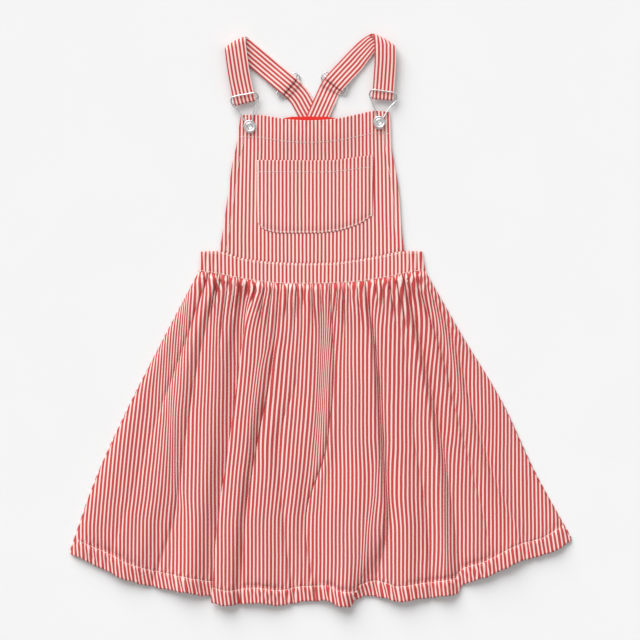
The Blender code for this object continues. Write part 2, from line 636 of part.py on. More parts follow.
def make_buttons(parts, metal):
    """A tack button: a post through the clip's wire, and a rimmed, dished cap."""
    for side, (x, y) in BUTTONS.items():
        base = float(bib_height(x, y)) + BIB_HEM_WALL / 2 + SEAM_GAP
        cap = CLIP_Z + CLIP_WIRE + SEAM_GAP
        profile = ((0, cap + 2.0), (3.4, cap + 2.0), (5.0, cap + 2.3), (6.4, cap + 2.7), (7.3, cap + 2.2),
                   (BUTTON_RADIUS, cap + 1.3), (7.2, cap + 0.3), (5.8, cap), (2.2, cap), (2.2, base + 0.6),
                   (3.6, base + 0.4), (3.6, base), (0, base))
        mesh = bpy.data.meshes.new(f"button_{side}")
        points = [(r * MM, 0, z * MM) for r, z in profile]
        mesh.from_pydata(points, [(i, i + 1) for i in range(len(points) - 1)], [])
        mesh.materials.append(metal)
        made = bpy.data.objects.new(f"button_{side}", mesh)
        made.location = ((x - MIDDLE_X) * MM, y * MM, 0)
        parts.objects.link(made)
        turn = made.modifiers.new("turn", "SCREW")
        turn.steps = 20
        turn.render_steps = 20
        turn.use_merge_vertices = True
        turn.merge_threshold = 0.00001
        turn.use_smooth_shade = True


def main():
    for old in list(bpy.data.objects):
        bpy.data.objects.remove(old)
    parts = bpy.data.collections.new("pinafore_dress")
    helpers = bpy.data.collections.new("helpers")
    helpers.hide_render = True
    bpy.context.scene.collection.children.link(parts)
    bpy.context.scene.collection.children.link(helpers)

    cloth = material("striped_cloth", PINK, 0.9)
    tape = material("red_tape", RED, 0.85)
    metal = material("nickel", SILVER, 0.25, 1.0)
    make_skirt(parts, cloth)
    make_waistband(parts, cloth)
    make_bib(parts, cloth)
    make_yoke(parts, cloth, tape)
    make_straps(parts, helpers, cloth, metal)
    make_buttons(parts, metal)


main()
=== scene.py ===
"""The looks of a child's striped pinafore dress that lies on its back on a pale surface.

X runs across the dress, Y from the hem to the shoulders and Z up. The tables are in millimetres,
measured from the middle of the laid-out dress, as in the part's source.
"""

import math

import bpy
import numpy as np
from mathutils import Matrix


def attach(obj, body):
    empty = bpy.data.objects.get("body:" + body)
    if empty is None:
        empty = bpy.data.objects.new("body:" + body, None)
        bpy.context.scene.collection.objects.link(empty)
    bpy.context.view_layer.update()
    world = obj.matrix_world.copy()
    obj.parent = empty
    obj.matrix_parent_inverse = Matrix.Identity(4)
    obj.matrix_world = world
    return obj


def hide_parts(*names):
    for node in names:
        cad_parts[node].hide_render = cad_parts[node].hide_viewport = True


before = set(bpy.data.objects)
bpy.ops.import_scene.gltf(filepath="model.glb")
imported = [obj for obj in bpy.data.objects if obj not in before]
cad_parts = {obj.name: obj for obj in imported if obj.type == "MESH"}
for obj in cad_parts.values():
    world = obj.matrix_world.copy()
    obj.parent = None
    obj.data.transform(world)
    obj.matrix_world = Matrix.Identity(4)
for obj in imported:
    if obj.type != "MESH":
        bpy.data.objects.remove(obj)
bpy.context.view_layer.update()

MM = 0.001
MIDDLE_X = 1.0          # where the middle of the whole outline lies in the tables' X

# ---------------------------------------------------------------- real sizes

STRIPE_PITCH = 4.72
SEAM_GAP = 0.3
BACK_WALL = 1.5
SKIRT_WALL = 1.2
HEM_DEPTH = 18.5        # from the hem's edge up to its stitching
BAND_WALL = 2.2
BIB_HEM_WALL = 2.4
BINDING_WALL = 1.0

STRAP_WIDTH = 27.0
STRAP_WALL = 1.6
LOOP_RADIUS = 6.0
LAYER_STEP = STRAP_WALL + 1.0
FOLD_BOW = 1.6          # how far the corners of the fold over the shoulder are drawn in

CLIP_WIRE = 0.95
SLIDER_WIRE = 0.85
BAR_SHARE = 0.98        # a bar's radius as a share of its wire's
CLIP_BAR_OVERHANG = 2.9
SLIDER_HALF_BAR = 17.5

CRIMPS = 74             # fine puckers along the waist seam
ELASTIC_RISE = 0.5

STITCH_LENGTH = 2.3
STITCH_STEP = 3.1
STITCH_WIDTH = 0.75
STITCH_PROUD = 0.16

# ---------------------------------------------------------------- the skirt's tables

# One row for each fold line of the front skirt, left to right. The cells say how the mesh's
# columns are shared out between a line and the next. The x values run down the line, at the waist,
# a quarter, half and three quarters of the way and the hem, and so do the cloth's heights.
FOLD_LINES = (
    # name, cells, x down the line, height down the line
    ("left edge", 3, (-152, -198, -242.5, -282, -313), (3.0, 3.0, 3.0, 3.0, 3.1)),
    ("left roll", 3, (-146, -190, -231, -267.5, -296), (3.6, 6.0, 7.0, 7.5, 7.0)),
    ("valley 1", 3, (-139, -171, -205, -236, -270), (3.6, 3.2, 5.4, 6.6, 6.2)),
    ("ridge 1", 3, (-131, -161, -184, -207.5, -240), (4.6, 7.4, 9.0, 9.6, 9.6)),
    ("valley 2", 6, (-124, -150, -167, -180, -211), (4.2, 6.0, 5.2, 4.6, 4.0)),
    ("ridge 2", 5, (-105, -125, -136, -150, -167.5), (5.0, 9.0, 11.0, 12.0, 12.0)),
    ("tuck foot", 3, (-93, -106, -116, -130, -138), (4.2, 3.8, 4.0, 4.2, 4.2)),
    ("tuck bend", 2, (-90, -98, -106, -117, -122), (4.0, 2.9, 2.9, 2.9, 3.1)),
    ("tuck return", 3, (-88, -96.5, -105.5, -116.5, -121.5), (4.4, 5.8, 6.2, 6.5, 6.8)),
    ("tuck lip", 2, (-84.5, -100, -113, -127.5, -135), (5.2, 8.0, 8.4, 8.8, 9.2)),
    ("tuck crown", 4, (-80.5, -94, -109, -124, -131), (6.0, 10.8, 11.6, 11.9, 12.2)),
    ("ridge 3", 6, (-70, -75, -92, -106, -114), (5.0, 10.0, 12.0, 12.4, 12.4)),
    ("valley 3", 5, (-50, -60, -79, -94, -100), (4.0, 4.4, 4.4, 5.0, 5.4)),
    ("ridge 4", 5, (-36, -41, -65, -73, -72), (4.8, 8.6, 8.6, 8.8, 9.6)),
    ("valley 4", 5, (-22.5, -25, -51, -45, -32), (4.6, 8.8, 7.0, 5.4, 3.6)),
    ("ridge 5", 6, (-5, -4, -21, -32.5, -19), (4.8, 9.0, 9.4, 7.0, 3.4)),
    ("valley 5", 7, (12.5, 17.5, 9, -18, -4), (4.0, 4.2, 4.4, 4.6, 4.0)),
    ("ridge 6", 4, (34, 42.5, 40, 34, 28), (5.0, 10.0, 12.0, 13.0, 14.0)),
    ("shoulder", 4, (46, 60, 66, 74, 43), (5.0, 9.6, 11.4, 12.0, 6.0)),
    ("valley 6", 3, (56, 70, 77.5, 85, 64), (4.0, 4.0, 4.2, 4.2, 3.2)),
    ("step up", 4, (63, 77, 84, 92, 84), (4.6, 7.0, 7.6, 7.4, 8.0)),
    ("ridge 7", 4, (75, 91, 99, 109, 108), (5.0, 8.8, 10.4, 11.2, 11.4)),
    ("valley 7", 4, (86, 108, 118, 134, 139), (4.4, 8.0, 7.4, 5.4, 3.6)),
    ("ridge 8", 3, (96, 120, 140, 152, 159), (5.0, 9.6, 11.2, 12.0, 12.0)),
    ("valley 8", 3, (103, 127.5, 149, 166, 177), (3.8, 3.6, 4.0, 4.6, 3.6)),
    ("ridge 9", 3, (110, 139, 161, 185, 200), (4.8, 8.0, 9.0, 9.8, 9.8)),
    ("valley 9", 2, (116, 150, 174, 199, 222.5), (4.0, 4.4, 6.6, 8.4, 8.6)),
    ("ridge 10", 2, (121, 159, 183, 211, 244), (4.4, 7.2, 8.0, 9.4, 9.6)),
    ("valley 10", 2, (125, 167.5, 193, 223, 266), (3.6, 3.6, 4.2, 5.0, 4.2)),
    ("right roll", 3, (129, 174, 212.5, 247, 295), (3.6, 6.4, 7.4, 7.6, 7.0)),
    ("right edge", 0, (132, 180, 230, 269, 315), (3.0, 3.0, 3.0, 3.0, 3.1)),
)
FOLD_NAMES, FOLD_CELLS, FOLD_X, FOLD_HEIGHTS = zip(*FOLD_LINES)
STATIONS = (0.0, 0.25, 0.5, 0.75, 1.0)
CENTRE_FRONT_X = 40.0   # here a stripe runs straight down

# How the front skirt's valleys sharpen, by fold line. Strength runs down the line at the five
# stations. Deep is how far the crease cuts in, and the rolls stand up this high and this far to
# its left and right.
CREASES = (
    # fold line, strength, deep, left roll (height, distance), right roll (height, distance)
    ("valley 1", (1.0, 1.0, 0.5, 0.3, 0.3), 1.6, (1.6, 4.0), (2.8, 5.0)),
    ("valley 2", (0.4, 0.6, 0.8, 0.8, 0.6), 1.2, (1.6, 4.5), (1.2, 7.0)),
    ("valley 3", (0.6, 1.0, 0.7, 0.5, 0.7), 1.8, (1.8, 4.5), (3.2, 4.5)),
    ("valley 4", (0.2, 0.2, 0.4, 0.6, 1.0), 1.3, (1.6, 6.0), (1.8, 6.0)),
    ("valley 5", (0.7, 1.0, 1.0, 0.6, 0.5), 1.8, (2.4, 4.5), (2.8, 4.5)),
    ("valley 6", (0.7, 1.0, 0.8, 0.35, 0.1), 1.8, (4.2, 3.6), (0.8, 9.0)),
    ("valley 7", (0.3, 0.3, 0.5, 0.8, 1.0), 1.4, (2.0, 5.0), (1.6, 6.0)),
    ("valley 8", (0.7, 1.0, 0.8, 0.5, 0.3), 1.7, (3.6, 3.6), (1.2, 7.0)),
    ("valley 9", (0.7, 1.0, 0.7, 0.4, 0.3), 1.5, (1.8, 4.0), (2.2, 4.0)),
    ("valley 10", (0.4, 0.6, 1.0, 1.0, 1.0), 1.5, (1.8, 4.5), (2.2, 5.0)),
)

# The gathers that fan out below the waist seam, left to right, between those valleys.
GATHERS = (
    # x at the seam, x at its lower end, length, depth
    (-140, -144, 20, 2.0), (-127.5, -142, 62, 3.0), (-122.5, -136, 46, 2.4), (-114, -127, 95, 2.0),
    (-105, -110, 50, 2.2), (-100, -103, 105, 3.2), (-92, -89, 34, 2.2), (-80, -86, 34, 2.8),
    (-69, -76, 55, 2.8), (-59, -66, 62, 1.8), (-39, -42, 42, 2.6), (-29, -33, 75, 2.0),
    (-20, -22, 34, 1.8), (-10, -8, 66, 3.0), (0, 3, 42, 2.0), (22.5, 20, 48, 2.8), (29, 32, 74, 2.4),
    (37.5, 39, 30, 1.8), (46, 52, 60, 2.0), (69, 74, 34, 2.2), (76, 82, 44, 2.2), (85, 97, 64, 3.0),
    (94, 112, 78, 2.8), (104, 108, 26, 2.8), (110, 117, 38, 2.6), (122, 132, 44, 2.2),
)

# Stripes followed up the skirt, by their x at these heights. To the left of the tuck the cloth
# that the tuck hides comes between.
STRIPE_HEIGHTS = (-250.0, -100.0, -12.5, 37.5)
STRIPES_LEFT = (
    (-350, -335, -300, -278), (-305, -290, -262, -242), (-245, -230, -209, -192), (-215, -201, -194, -178),
    (-185, -180, -174, -169), (-170, -167.5, -165, -161), (-155, -152.5, -150, -145),
    (-140, -139, -136, -132.5), (-125, -125, -124, -119), (-65, -65, -64, -60),
)
STRIPES_RIGHT = (
    (-170, -159, -150, -136), (-110, -99, -90, -76), (-95, -84.5, -75.5, -66), (-80, -70, -61, -56),
    (-65, -53, -46, -42.5), (-50, -36, -31, -29), (-35, -20.5, -17, -16), (-20, -5, -2.5, -4),
    (-5, 3, 6.5, 7.5), (10, 11, 15, 19), (25, 26, 27.5, 29.5), (40, 41, 40, 40), (70, 70, 70, 71),
    (100, 101, 101, 98), (130, 131, 135.5, 129), (160, 162.5, 163, 155), (190, 191, 190, 180),
    (235, 234, 228, 221), (330, 328, 322, 315),
)
TUCKED_CLOTH = 29.0     # how much of the cloth's width the tuck hides

# Where steep cloth or crumpling bunches the stripes: from the hem up (y, x), how much of the
# cloth's width is taken in, and over what distance.
BUNCHES = (
    (((-235, -172), (-200, -180), (-150, -184), (-100, -186)), 4.0, 9.0),
    (((-175, -82), (-120, -84), (-60, -76), (-35, -66)), 4.0, 9.0),
    (((-240, 84), (-150, 79), (-60, 72), (10, 65)), 6.0, 8.0),
    (((-310, 158), (-260, 157), (-190, 157), (-150, 152)), 4.5, 8.0),
    (((-320, 50), (-270, 58), (-220, 68), (-170, 74)), 4.0, 8.0),
    (((-100, 178), (-60, 170), (-20, 156), (20, 140)), 3.5, 7.0),
)

# The hem's edge in the plan, left to right, either side of the tuck.
HEM_LEFT = ((-313, -292), (-274, -310), (-245, -324), (-216, -332), (-150, -344), (-118, -349))
HEM_RIGHT = ((-136, -353), (-116, -357), (-85, -354), (-50, -357), (-20, -352), (8, -351), (29, -359),
             (38, -358), (43, -350), (63, -345), (82, -348), (95, -352), (130, -348), (172, -342),
             (178, -332), (209, -321), (256, -300), (286, -292), (315, -276))

WAIST_SEAM = ((-152, 60.5), (-122, 55), (-72, 46.5), (-42, 44), (-8, 44), (26, 45), (56, 47.5),
              (86, 52.5), (116, 59), (132, 61))
BACK_HEM = ((-312, -287), (-270, -306), (-211, -327), (-137, -339), (-60, -346), (20, -346),
            (65, -341), (105, -343), (176, -329), (222, -309), (266, -291), (314, -272))

# ---------------------------------------------------------------- the bodice's tables

BAND_TOP = ((-149, 85.5), (-125.5, 86), (-99, 77.5), (-59, 72.5), (-22.5, 71), (12.5, 71.5),
            (46, 75.5), (76, 80.5), (105, 86), (128, 85.5))
BIB_LEFT = ((86, -125.5), (129, -119), (165, -114), (200, -109), (216, -105), (250, -100), (257, -98.5))
BIB_RIGHT = ((86, 105), (121, 101.5), (147.5, 100), (174, 97), (206, 91), (222, 89), (250, 88), (261, 86.5))
BIB_TOP = ((-98.5, 256.5), (-80, 256.5), (-40, 251), (-15, 249.5), (14, 251), (50, 258), (69, 261.5),
           (86.5, 260.5))
BIB_TOP_HEM = 27.5
BIB_SIDE_HEM = 8.0
POCKET_TOP = ((-79, 200), (6, 199.5), (61, 205.5), (68, 206))
POCKET_FOOT = ((-78, 122), (-72, 114.5), (-62, 110.5), (-48, 108.5), (-7, 108.5), (20, 111), (49, 120),
               (66, 131))
POCKET_TOP_SIDES = (-79, 68)
POCKET_FOOT_SIDES = (-78, 66)
POCKET_HEM = 14.5
POCKET_SETTLE = 1.05    # how far the sewn edge is drawn down on to the bib
BIB_DRAPE = 0.3
BIB_LIFT = 3.9
BIB_LEAN = 0.2          # how much of the side edges' slant the outermost stripes take up

YOKE_MIDDLE_X = -13.0
YOKE_TOP_Y = 243.5
YOKE_HALF_TOP = 31.0
YOKE_HALF_FOOT = 104.0
BINDING_FOOT_Y = 241.5
BINDING_TOP_Y = 254.3

# ---------------------------------------------------------------- the straps' tables

# Each strap in the plan: the middle of the fold over the shoulder, the fold's axis and the heading up
# to it in degrees, the legs as (length, turn), the share of its width by the distance along it, how far
# beyond the fold the slider's bar is, and how far the outer layer is lifted by the distance beyond it.
STRAPS = {
    "left": {
        "fold": (-106.3, 341.6),
        "fold_axis": 29.0,
        "rising": 98.5,
        "front_leg": ((20, 0), (44, 6)),
        "back_leg": ((82, 0), (18, -21)),
        "narrow": ((0, 1), (60, 1)),
        "slider_at": 80.0,
        "lift": ((0, 0), (120, 0)),
    },
    "right": {
        "fold": (82.0, 343.5),
        "fold_axis": 151.0,
        "rising": 90.0,
        "front_leg": ((20, -4), (38, 0)),
        "back_leg": ((16, 14), (51, 2), (15, 18), (14, 0)),
        "narrow": ((0, 1), (16, 0.8), (24, 0.8), (60, 1)),
        "slider_at": 76.5,
        "lift": ((0, 0), (90, 0), (104, 1.9), (150, 1.9)),
    },
}
STRAP_END_Y = 243.8
CLIP_Z = 6.4
CLIP_BAR_Z = 6.8
BUTTONS = {"left": (-88.0, 242.5), "right": (74.0, 247.5)}
CLIP_BAR_REACH = 26.5
CLIP_PATH = ((0.0, -8.2, 0.0), (2.6, -7.6, 0.0), (4.8, -5.6, 0.0), (5.4, -2.6, 0.0), (4.6, 1.5, 0.0),
             (4.4, 5.5, 0.0), (6.4, 10.5, 0.0), (9.2, 15.2, 0.0), (12.8, 19.8, 0.1), (15.6, 23.6, 0.2),
             (17.0, 27.0, 0.5), (17.2, 30.0, 2.6), (15.8, 33.2, 4.8), (12.8, 34.6, 5.8), (6.5, 34.9, 5.8),
             (0.0, 34.9, 5.8))
SLIDER_PATH = ((0.0, 6.2, 0.9), (12.0, 6.2, 0.9), (15.8, 5.6, 1.2), (17.6, 3.0, 3.2), (17.6, -2.6, 4.6),
               (15.8, -5.2, 4.4), (12.0, -5.8, 4.2), (0.0, -5.8, 4.2))
SLIDER_BAR_Z = 4.8


# ---------------------------------------------------------------- curves

def cubic(knots, values, slopes, where):
    """The value here of the curve with these values and slopes at its knots."""
    gaps = np.diff(knots)
    at = np.clip(np.searchsorted(knots, where, side="right") - 1, 0, len(gaps) - 1)
    t = (where - knots[at]) / gaps[at]
    return (values[at] * (1 + 2 * t) * (1 - t) ** 2 + values[at + 1] * t * t * (3 - 2 * t)
            + gaps[at] * (slopes[at] * t * (1 - t) ** 2 - slopes[at + 1] * t * t * (1 - t)))


def smooth(table, where):
    """A cubic through a table of (where, value) points, whose slopes never overshoot."""
    knots, values = np.array(table, float).T
    rises = np.diff(values) / np.diff(knots)
    before, after = rises[:-1], rises[1:]
    level = before * after <= 0
    inner = np.where(level, 0, 2 * before * after / np.where(level, 1, before + after))
    slopes = np.concatenate([rises[:1], inner, rises[-1:]])
    return cubic(knots, values, slopes, np.clip(np.asarray(where, float), knots[0], knots[-1]))


def through(knots, values, where):
    """A cubic through points that may turn back, with the slopes of their neighbours."""
    rises = np.diff(values) / np.diff(knots)
    inner = (values[2:] - values[:-2]) / (knots[2:] - knots[:-2])
    return cubic(knots, values, np.concatenate([rises[:1], inner, rises[-1:]]), where)


def between(first, last, share):
    """The place this share of the way from the first to the last."""
    return first * (1 - share) + last * share


def step(low, high, value):
    """0 below low, 1 above high and a soft rise between."""
    t = np.clip((value - low) / (high - low), 0, 1)
    return t * t * (3 - 2 * t)


def fall(low, high, value):
    """1 below low, 0 above high and a soft fall between."""
    return 1 - step(low, high, value)


def dent(distance, width):
    """1 at a line and 0 a few widths away from it."""
    return np.exp(-(distance / width) ** 2)


def spread(count, inset):
    """Places from 0 to 1 with one more close to each end, where the cloth's edge rounds off."""
    return np.concatenate([[0, inset], np.linspace(3 * inset, 1 - 3 * inset, count), [1 - inset, 1]])


def row_of(places, place):
    """The fraction of a row or column at which a rising table of places holds this place."""
    return np.interp(place, places, np.arange(len(places)))


def ripple(x, y, seed):
    """A smooth uneven wave between about -1 and 1."""
    a = np.sin(x + 1.3 * np.sin(y * 0.7 + seed) + seed * 2.1)
    b = np.sin(x * 0.53 + y * 0.61 + seed * 3.7 + 0.8 * np.sin(x * 0.31 - y * 0.4))
    c = np.sin(y * 1.1 - x * 0.27 + seed * 5.3)
    return (a + b + 0.7 * c) / 2.7


# ---------------------------------------------------------------- materials

class Nodes:
    """Short calls for building a material's node tree."""

    def __init__(self, name):
        self.material = bpy.data.materials.new(name)
        self.material.use_nodes = True
        self.tree = self.material.node_tree
        self.shader = self.tree.nodes["Principled BSDF"]

    def add(self, kind, inputs=None, **settings):
        node = self.tree.nodes.new(kind)
        for key, value in settings.items():
            setattr(node, key, value)
        for key, value in (inputs or {}).items():
            self.put(value, node.inputs[key])
        return node

    def put(self, value, socket):
        if isinstance(value, bpy.types.NodeSocket):
            self.tree.links.new(value, socket)
        else:
            socket.default_value = value

    def math(self, operation, a, b=0.0, c=0.0):
        node = self.add("ShaderNodeMath", operation=operation)
        for value, socket in zip((a, b, c), node.inputs):
            self.put(value, socket)
        return node.outputs[0]

    def ramp(self, value, low, high, to_low=0.0, to_high=1.0):
        node = self.add("ShaderNodeMapRange", interpolation_type="SMOOTHSTEP")
        for given, key in zip((value, low, high, to_low, to_high),
                              ("Value", "From Min", "From Max", "To Min", "To Max")):
            self.put(given, node.inputs[key])
        return node.outputs[0]

    def mix(self, factor, a, b):
        node = self.add("ShaderNodeMix", data_type="RGBA")
        self.put(factor, node.inputs[0])
        for value, socket in ((a, node.inputs[6]), (b, node.inputs[7])):
            self.put((*value, 1) if isinstance(value, tuple) else value, socket)
        return node.outputs[2]

    def noise(self, vector, scale, detail=2.0):
        node = self.add("ShaderNodeTexNoise", {"Vector": vector, "Scale": scale, "Detail": detail})
        return node.outputs["Fac"]

    def bump(self, height, strength, distance):
        node = self.add("ShaderNodeBump", {"Height": height, "Strength": strength, "Distance": distance})
        self.tree.links.new(node.outputs["Normal"], self.shader.inputs["Normal"])


RED_YARN = (0.47, 0.032, 0.034)
RED_YARN_WORN = (0.63, 0.090, 0.090)
ECRU_YARN = (0.98, 0.79, 0.73)
ECRU_YARN_SHADE = (0.90, 0.62, 0.57)
YARN = 0.42             # millimetres from one warp yarn to the next
STRIPE_BLEED = 0.04     # how softly a stripe ends, as a share of the pitch


def striped_cotton(name, red_share, painted_shade_factor):
    """Red and ecru warp yarns crossed by an ecru weft. Its colours lie where the cloth's own flat
    coordinates, in millimetres, say, so the stripes bend and bunch with the cloth."""
    made = Nodes(name)
    flat = made.add("ShaderNodeAttribute", attribute_name="cloth").outputs["Vector"]
    parts = made.add("ShaderNodeSeparateXYZ", {"Vector": flat}).outputs
    u, v = parts["X"], parts["Y"]

    sway = made.math("MULTIPLY", made.math("SUBTRACT", made.noise(flat, 0.06), 0.5), 0.5)
    swayed = made.math("ADD", u, sway)
    phase = made.math("FRACT", made.math("DIVIDE", swayed, STRIPE_PITCH))
    from_red = made.math("ABSOLUTE", made.math("SUBTRACT", phase, 0.5))
    fray = made.math("MULTIPLY", made.math("SUBTRACT", made.noise(flat, 2.2), 0.5), 0.05)
    edge = red_share / 2
    red = made.ramp(made.math("ADD", from_red, fray), edge - STRIPE_BLEED, edge + STRIPE_BLEED, 1.0, 0.0)

    yarn_number = made.math("FLOOR", made.math("DIVIDE", swayed, YARN))
    yarn_tone = made.add("ShaderNodeTexWhiteNoise", {"W": yarn_number}, noise_dimensions="1D")
    along = made.add("ShaderNodeCombineXYZ", {"X": made.math("MULTIPLY", u, 1 / YARN),
                                              "Y": made.math("MULTIPLY", v, 0.12)}).outputs[0]
    slub = made.noise(along, 0.9)
    across_wave = made.math("SINE", made.math("MULTIPLY", u, 2 * math.pi / YARN))
    twill = made.math("SINE", made.math("MULTIPLY", made.math("ADD", u, v), math.pi / YARN))
    weave = made.math("MULTIPLY", across_wave, twill)
    float_share = made.ramp(weave, -0.9, 0.9)
    tone = made.math("ADD", made.math("MULTIPLY", yarn_tone.outputs[0], 0.4),
                     made.math("MULTIPLY", slub, 0.6))
    worn = made.math("ADD", made.math("MULTIPLY", tone, 0.75),
                     made.math("MULTIPLY", float_share, 0.35))

    # This factor darkens all four yarn colours alike. Below 1 it is painted shade: a darker copy of the cloth
    # that stands in for the shade in the skirt's folds.
    red_low, red_high, ecru_low, ecru_high = (
        tuple(part * painted_shade_factor for part in colour)
        for colour in (RED_YARN, RED_YARN_WORN, ECRU_YARN_SHADE, ECRU_YARN))
    red_tone = made.mix(worn, red_low, red_high)
    ecru_tone = made.mix(worn, ecru_low, ecru_high)
    made.put(made.mix(red, ecru_tone, red_tone), made.shader.inputs["Base Color"])
    rough = made.ramp(slub, 0.2, 0.8, 0.82, 0.96)
    made.put(rough, made.shader.inputs["Roughness"])
    made.shader.inputs["Specular IOR Level"].default_value = 0.25
    made.shader.inputs["Sheen Weight"].default_value = 0.08
    made.shader.inputs["Sheen Roughness"].default_value = 0.5
    height = made.math("ADD", made.math("MULTIPLY", weave, 0.5), slub)
    made.bump(height, 0.35, 0.00012)
    return made.material


def plain_cotton(name, low, high, yarn, roughness):
    """One colour of yarn, with its twist and weave."""
    made = Nodes(name)
    flat = made.add("ShaderNodeAttribute", attribute_name="cloth").outputs["Vector"]
    parts = made.add("ShaderNodeSeparateXYZ", {"Vector": flat}).outputs
    first = made.math("SINE", made.math("MULTIPLY", made.math("ADD", parts["X"], parts["Y"]), math.pi / yarn))
    second = made.math("SINE", made.math("MULTIPLY", parts["X"], 2 * math.pi / yarn))
    weave = made.math("MULTIPLY", first, second)
    slub = made.noise(flat, 1.1)
    made.put(made.mix(made.ramp(made.math("ADD", made.math("MULTIPLY", weave, 0.25), slub), 0.2, 0.9),
                      low, high), made.shader.inputs["Base Color"])
    made.put(made.ramp(slub, 0.2, 0.8, roughness - 0.06, roughness + 0.06), made.shader.inputs["Roughness"])
    made.shader.inputs["Specular IOR Level"].default_value = 0.3
    made.shader.inputs["Sheen Weight"].default_value = 0.08
    made.bump(made.math("ADD", made.math("MULTIPLY", weave, 0.6), slub), 0.4, 0.00012)
    return made.material


def nickel():
    """Bright plated wire, with a little haze and fine scratches."""
    made = Nodes("nickel_plate")
    place = made.add("ShaderNodeTexCoord").outputs["Object"]
    haze = made.noise(place, 420.0, 3.0)
    scratches = made.noise(place, 2600.0, 1.0)
    made.put(made.mix(haze, (0.74, 0.74, 0.75), (0.90, 0.90, 0.90)), made.shader.inputs["Base Color"])
    made.put(made.ramp(haze, 0.3, 0.75, 0.28, 0.42), made.shader.inputs["Roughness"])
    made.shader.inputs["Metallic"].default_value = 1.0
    made.bump(scratches, 0.08, 0.00005)
    return made.material


def paper_floor():
    made = Nodes("pale_floor")
    place = made.add("ShaderNodeTexCoord").outputs["Object"]
    made.put(made.mix(made.noise(place, 9.0), (0.86, 0.86, 0.86), (0.88, 0.88, 0.88)),
             made.shader.inputs["Base Color"])
    made.shader.inputs["Roughness"].default_value = 0.9
    made.shader.inputs["Specular IOR Level"].default_value = 0.1
    return made.material


# ---------------------------------------------------------------- cloth shells

def placed(points):
    """Table millimetres to world metres."""
    return (np.asarray(points, float) - (MIDDLE_X, 0, 0)) * MM


def new_piece(name, points, faces, finish, flat=None):
    mesh = bpy.data.meshes.new(name)
    mesh.from_pydata(placed(points).tolist(), [], faces)
    if flat is not None:
        attribute = mesh.attributes.new("cloth", "FLOAT_VECTOR", "POINT")
        attribute.data.foreach_set("vector", np.asarray(flat, np.float32).ravel())
    mesh.materials.append(finish)
    mesh.shade_smooth()
    made = bpy.data.objects.new(name, mesh)
    bpy.context.scene.collection.objects.link(made)
    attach(made, "root")
    return made


class Sheet:
    """A grid of points through the middle of a cloth, with its flat coordinates and its two faces."""

    def __init__(self, grid, u, v, up, down, outward=1):
        self.grid = np.asarray(grid, float)
        across = np.gradient(self.grid, axis=1)
        along = np.gradient(self.grid, axis=0)
        normal = np.cross(across, along) * outward
        self.normal = normal / np.maximum(np.linalg.norm(normal, axis=2, keepdims=True), 1e-9)
        shape = self.grid.shape[:2]
        self.u = np.broadcast_to(u, shape)
        self.v = np.broadcast_to(v, shape)
        self.outward = outward
        self.top = self.grid + self.normal * np.broadcast_to(up, shape)[..., None]
        self.foot = self.grid - self.normal * np.broadcast_to(down, shape)[..., None]

    def piece(self, name, finish, slot="striped_cloth"):
        rows, columns = self.grid.shape[:2]
        count = rows * columns
        at = np.arange(count).reshape(rows, columns)
        top = np.stack([at[:-1, :-1], at[:-1, 1:], at[1:, 1:], at[1:, :-1]], axis=-1).reshape(-1, 4)
        rim = np.concatenate([at[0, :-1], at[:-1, -1], at[-1, :0:-1], at[:0:-1, 0]])
        after = np.roll(rim, -1)
        sides = np.stack([rim, rim + count, after + count, after], axis=-1)
        faces = np.concatenate([top, top[:, ::-1] + count, sides])
        if self.outward < 0:
            faces = faces[:, ::-1]
        flat = np.stack([self.u, self.v, np.zeros_like(self.u)], axis=-1).reshape(-1, 3)
        points = np.concatenate([self.top.reshape(-1, 3), self.foot.reshape(-1, 3)])
        return new_piece(name, points, faces.tolist(), finish, np.concatenate([flat, flat]))

    def at(self, rows, columns):
        """Places and outward directions on the upper face at fractions of rows and columns."""
        last_row, last_column = self.grid.shape[0] - 1, self.grid.shape[1] - 1
        rows = np.clip(rows, 0, last_row)
        columns = np.clip(columns, 0, last_column)
        r = np.minimum(rows.astype(int), last_row - 1)
        c = np.minimum(columns.astype(int), last_column - 1)
        p, q = (rows - r)[:, None], (columns - c)[:, None]

        def blended(field):
            return (field[r, c] * (1 - p) * (1 - q) + field[r, c + 1] * (1 - p) * q
                    + field[r + 1, c] * p * (1 - q) + field[r + 1, c + 1] * p * q)

        return blended(self.top), blended(self.normal)


def stitch_line(path, normals):
    """Where each stitch lies along a path: its middle, heading and outward direction."""
    gaps = np.linalg.norm(np.diff(path, axis=0), axis=1)
    reach = np.concatenate([[0], np.cumsum(gaps)])
    count = max(1, int(reach[-1] / STITCH_STEP))
    where = (np.arange(count) + 0.5) * reach[-1] / count

    def at(distance):
        distance = np.clip(distance, 0, reach[-1])
        return np.stack([np.interp(distance, reach, path[:, i]) for i in range(3)], axis=1)

    heading = at(where + 0.9) - at(where - 0.9)
    heading /= np.linalg.norm(heading, axis=1, keepdims=True)
    outward = np.stack([np.interp(where, reach, normals[:, i]) for i in range(3)], axis=1)
    outward /= np.linalg.norm(outward, axis=1, keepdims=True)
    return at(where), heading, outward


